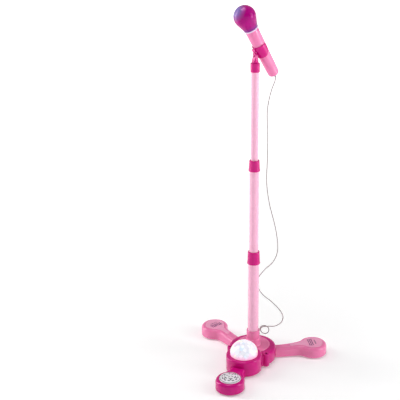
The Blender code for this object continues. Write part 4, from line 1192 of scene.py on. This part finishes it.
piece("microphone_barrel", barrel(), pink_barrel, "mic", ("mic_barrel",), place=MIC_PLACE)
trim = soften(mm((15, 60.3), (18.4, 60.3), (18.8, 60.8), (18.8, 61.8), (18.5, 62.1), (18.8, 62.4),
    (18.8, 63.6), (18.4, 64), (15, 64)), 0.0002)
piece("microphone_trim_ring", turned(trim, 96), lilac, "mic", ("mic_trim_ring",),
    place=MIC_PLACE)


def head_skin(shrink, steps):
    radius = HEAD_R - shrink
    neck = (0.0195 - shrink, 0.0683)
    reach = hypot(neck[0], HEAD_S - neck[1])
    start = atan2(neck[1] - HEAD_S, neck[0]) + acos(radius / reach)
    points = [(0.0189 - shrink, 0.0643), neck] + arc(0.0, HEAD_S, radius, degrees(start), 90, steps)
    points[-1] = (0.0, HEAD_S + radius)
    return points


shell_profile = list(reversed(head_skin(0.0, 30))) + head_skin(0.0009, 30)
piece("microphone_head_shell", turned(shell_profile, 112), head_clear, "mic", ("mic_head",),
    place=MIC_PLACE)


def radius_at(skin, s):
    """Radius of a half outline at a height along the axis."""
    for (qa, za), (qb, zb) in zip(skin, skin[1:]):
        if za <= s <= zb and zb > za:
            return qa + (qb - qa) * (s - za) / (zb - za)
    return 0.0


def diamond_mesh():
    """Crossing helical wires that make the diamond pattern just under the head's shell; their pale pink is a
    painted highlight on the pattern.
    """
    bm = bmesh.new()
    skin = head_skin(0.0016, 60)
    count, turns = 26, 0.42
    s0, s1 = 0.0665, HEAD_S + HEAD_R - 0.0046
    for direction in (-1, 1):
        for n in range(count):
            loops = []
            steps = 44
            for k in range(steps + 1):
                t = k / steps
                s = s0 + (s1 - s0) * (1 - (1 - t) ** 1.25)
                q = radius_at(skin, s) - 0.00055
                a = tau * (n / count + direction * turns * t)
                centre = Vector((q * cos(a), q * sin(a), s))
                out = Vector((cos(a), sin(a), 0.0))
                side = Vector((-sin(a), cos(a), 0.0))
                w = 0.0004
                loops.append([tuple(centre + side * w * i + out * w * j) for i, j in ((-1, -0.6), (1, -0.6),
                    (0.6, 0.8), (-0.6, 0.8))])
            skinned(loops, bm=bm)
    return bm


core = list(reversed(head_skin(0.0028, 24))) + head_skin(0.0045, 24)
piece("microphone_head_core", turned(core, 96), mesh_magenta, "mic", ("mic_foam_liner",),
    place=MIC_PLACE)
piece("microphone_head_mesh", diamond_mesh(), mesh_wires_painted_highlight, "mic", (), place=MIC_PLACE,
    angle=50)
tail_bush = mm((1.6, -89), (2.1, -89), (2.2, -88.2), (1.9, -87.8), (1.9, -87.2), (2.4, -86.8), (2.4, -85.8),
    (2.1, -85.4), (2.1, -84.8), (2.6, -84.4), (2.7, -82.3), (2.7, -79.6), (4.6, -79.6), (4.6, -77.6),
    (1.6, -77.6))
piece("microphone_tail_bush", turned(tail_bush, 40), grey_rubber, "mic", ("mic_tail_bush",),
    place=MIC_PLACE)

# ---- back panel -------------------------------------------------------------------------------
jack_heading = atan2(JACK_OUT.y, JACK_OUT.x)
plug_profile = mm((0, -12.8), (0.7, -12.7), (1.2, -12.2), (1.6, -10.8), (1.2, -10.2), (1.6, -9.4),
    (1.6, -5.8), (1.45, -5.6), (1.45, -5.2), (1.6, -5), (1.6, 1.5), (3.6, 1.5), (4, 1.9))
for k in range(6):
    z = 0.0035 + 0.0018 * k
    plug_profile += [(0.004, z), (0.0037, z + 0.0003), (0.0037, z + 0.0007), (0.004, z + 0.001)]
plug_profile += [(0.004, 0.0142), (0.0036, 0.0158)]
for k in range(4):
    z = 0.0166 + 0.0018 * k
    q = 0.003 - 0.00028 * k
    plug_profile += [(q, z), (q - 0.0005, z + 0.0003), (q - 0.0005, z + 0.0009), (q - 0.0002, z + 0.0012)]
plug_profile += [(0.0019, 0.0238), (0.0, 0.0238)]
plug = piece("jack_plug", turned(plug_profile, 40), black_plastic, "plug", ("mic_plug",),
    place=out_place(jack_heading, DRUM_R, PANEL_Z), angle=40)

# ---- CAD nodes that stay, with finished materials ---------------------------------------------
KEPT = (
    (magenta, "hub_lower_shell battery_door leg_base_front"),
    (pink, "leg_base_right leg_base_left"),
    (board_green, "lamp_board main_board"),
    (led, "lamp_led_1 lamp_led_2 lamp_led_3"),
    (cell_sleeve, "battery_1 battery_2 battery_3"),
    (steel, "battery_contact_left battery_contact_right battery_door_screw speaker_basket"),
    (paper, "speaker_cone"),
    (black_plastic, "mic_jack_socket line_in_socket mic_capsule"),
    (black_plastic, "leg_coupler_front leg_coupler_left leg_coupler_right"),
    (black_rubber, "centre_foot"),
    (white, "power_switch_knob"),
)
for material, names in KEPT:
    for name in names.split():
        slots = NODES[name].data.materials
        if not slots:
            slots.append(material)
        for k in range(len(slots)):
            slots[k] = material

# ---- floor ------------------------------------------------------------------------------------
def floor_rows():
    """(radius, height) of a wide floor that curls up far away, so that no horizon shows."""
    rows = [(0.0, 0.0), (0.6, 0.0), (1.5, 0.0), (3.0, 0.0), (6.0, 0.0), (9.0, 0.0)]
    return rows + [(9.0 + 5.0 * sin(radians(a)), 5.0 - 5.0 * cos(radians(a))) for a in range(6, 61, 6)]


def floor_disc():
    bm = bmesh.new()
    rings = []
    for radius, height in floor_rows():
        count = 96 if radius else 1
        rings.append([bm.verts.new((radius * cos(tau * k / 96), radius * sin(tau * k / 96), height))
            for k in range(count)])
    for low, high in zip(rings, rings[1:]):
        for k in range(96):
            n = (k + 1) % 96
            corners = (low[k % len(low)], low[n % len(low)], high[n], high[k])
            bm.faces.new(list(dict.fromkeys(corners)))
    return bm


paper_floor = Recipe("studio_paper")
paper_floor.link(paper_floor.mix(paper_floor.noise(3.0), (0.88, 0.88, 0.88), (0.9, 0.9, 0.9)),
    paper_floor.shader.inputs["Base Color"])
paper_floor.set(Roughness=0.9)
near_glow = paper_floor.remap(distance_to(paper_floor, (0, 0, 0)), 0.3, 1.9, 0.2, 0.62)
far_glow = paper_floor.remap(distance_to(paper_floor, (0, 0, 0)), 1.6, 4.0, 0.0, 0.34)
paper_floor.link(paper_floor.math("ADD", near_glow, far_glow),
    paper_floor.shader.inputs["Emission Strength"])
paper_floor.shader.inputs["Emission Color"].default_value = (1, 1, 1, 1)
floor = piece("studio_floor", floor_disc(), paper_floor.material, None)
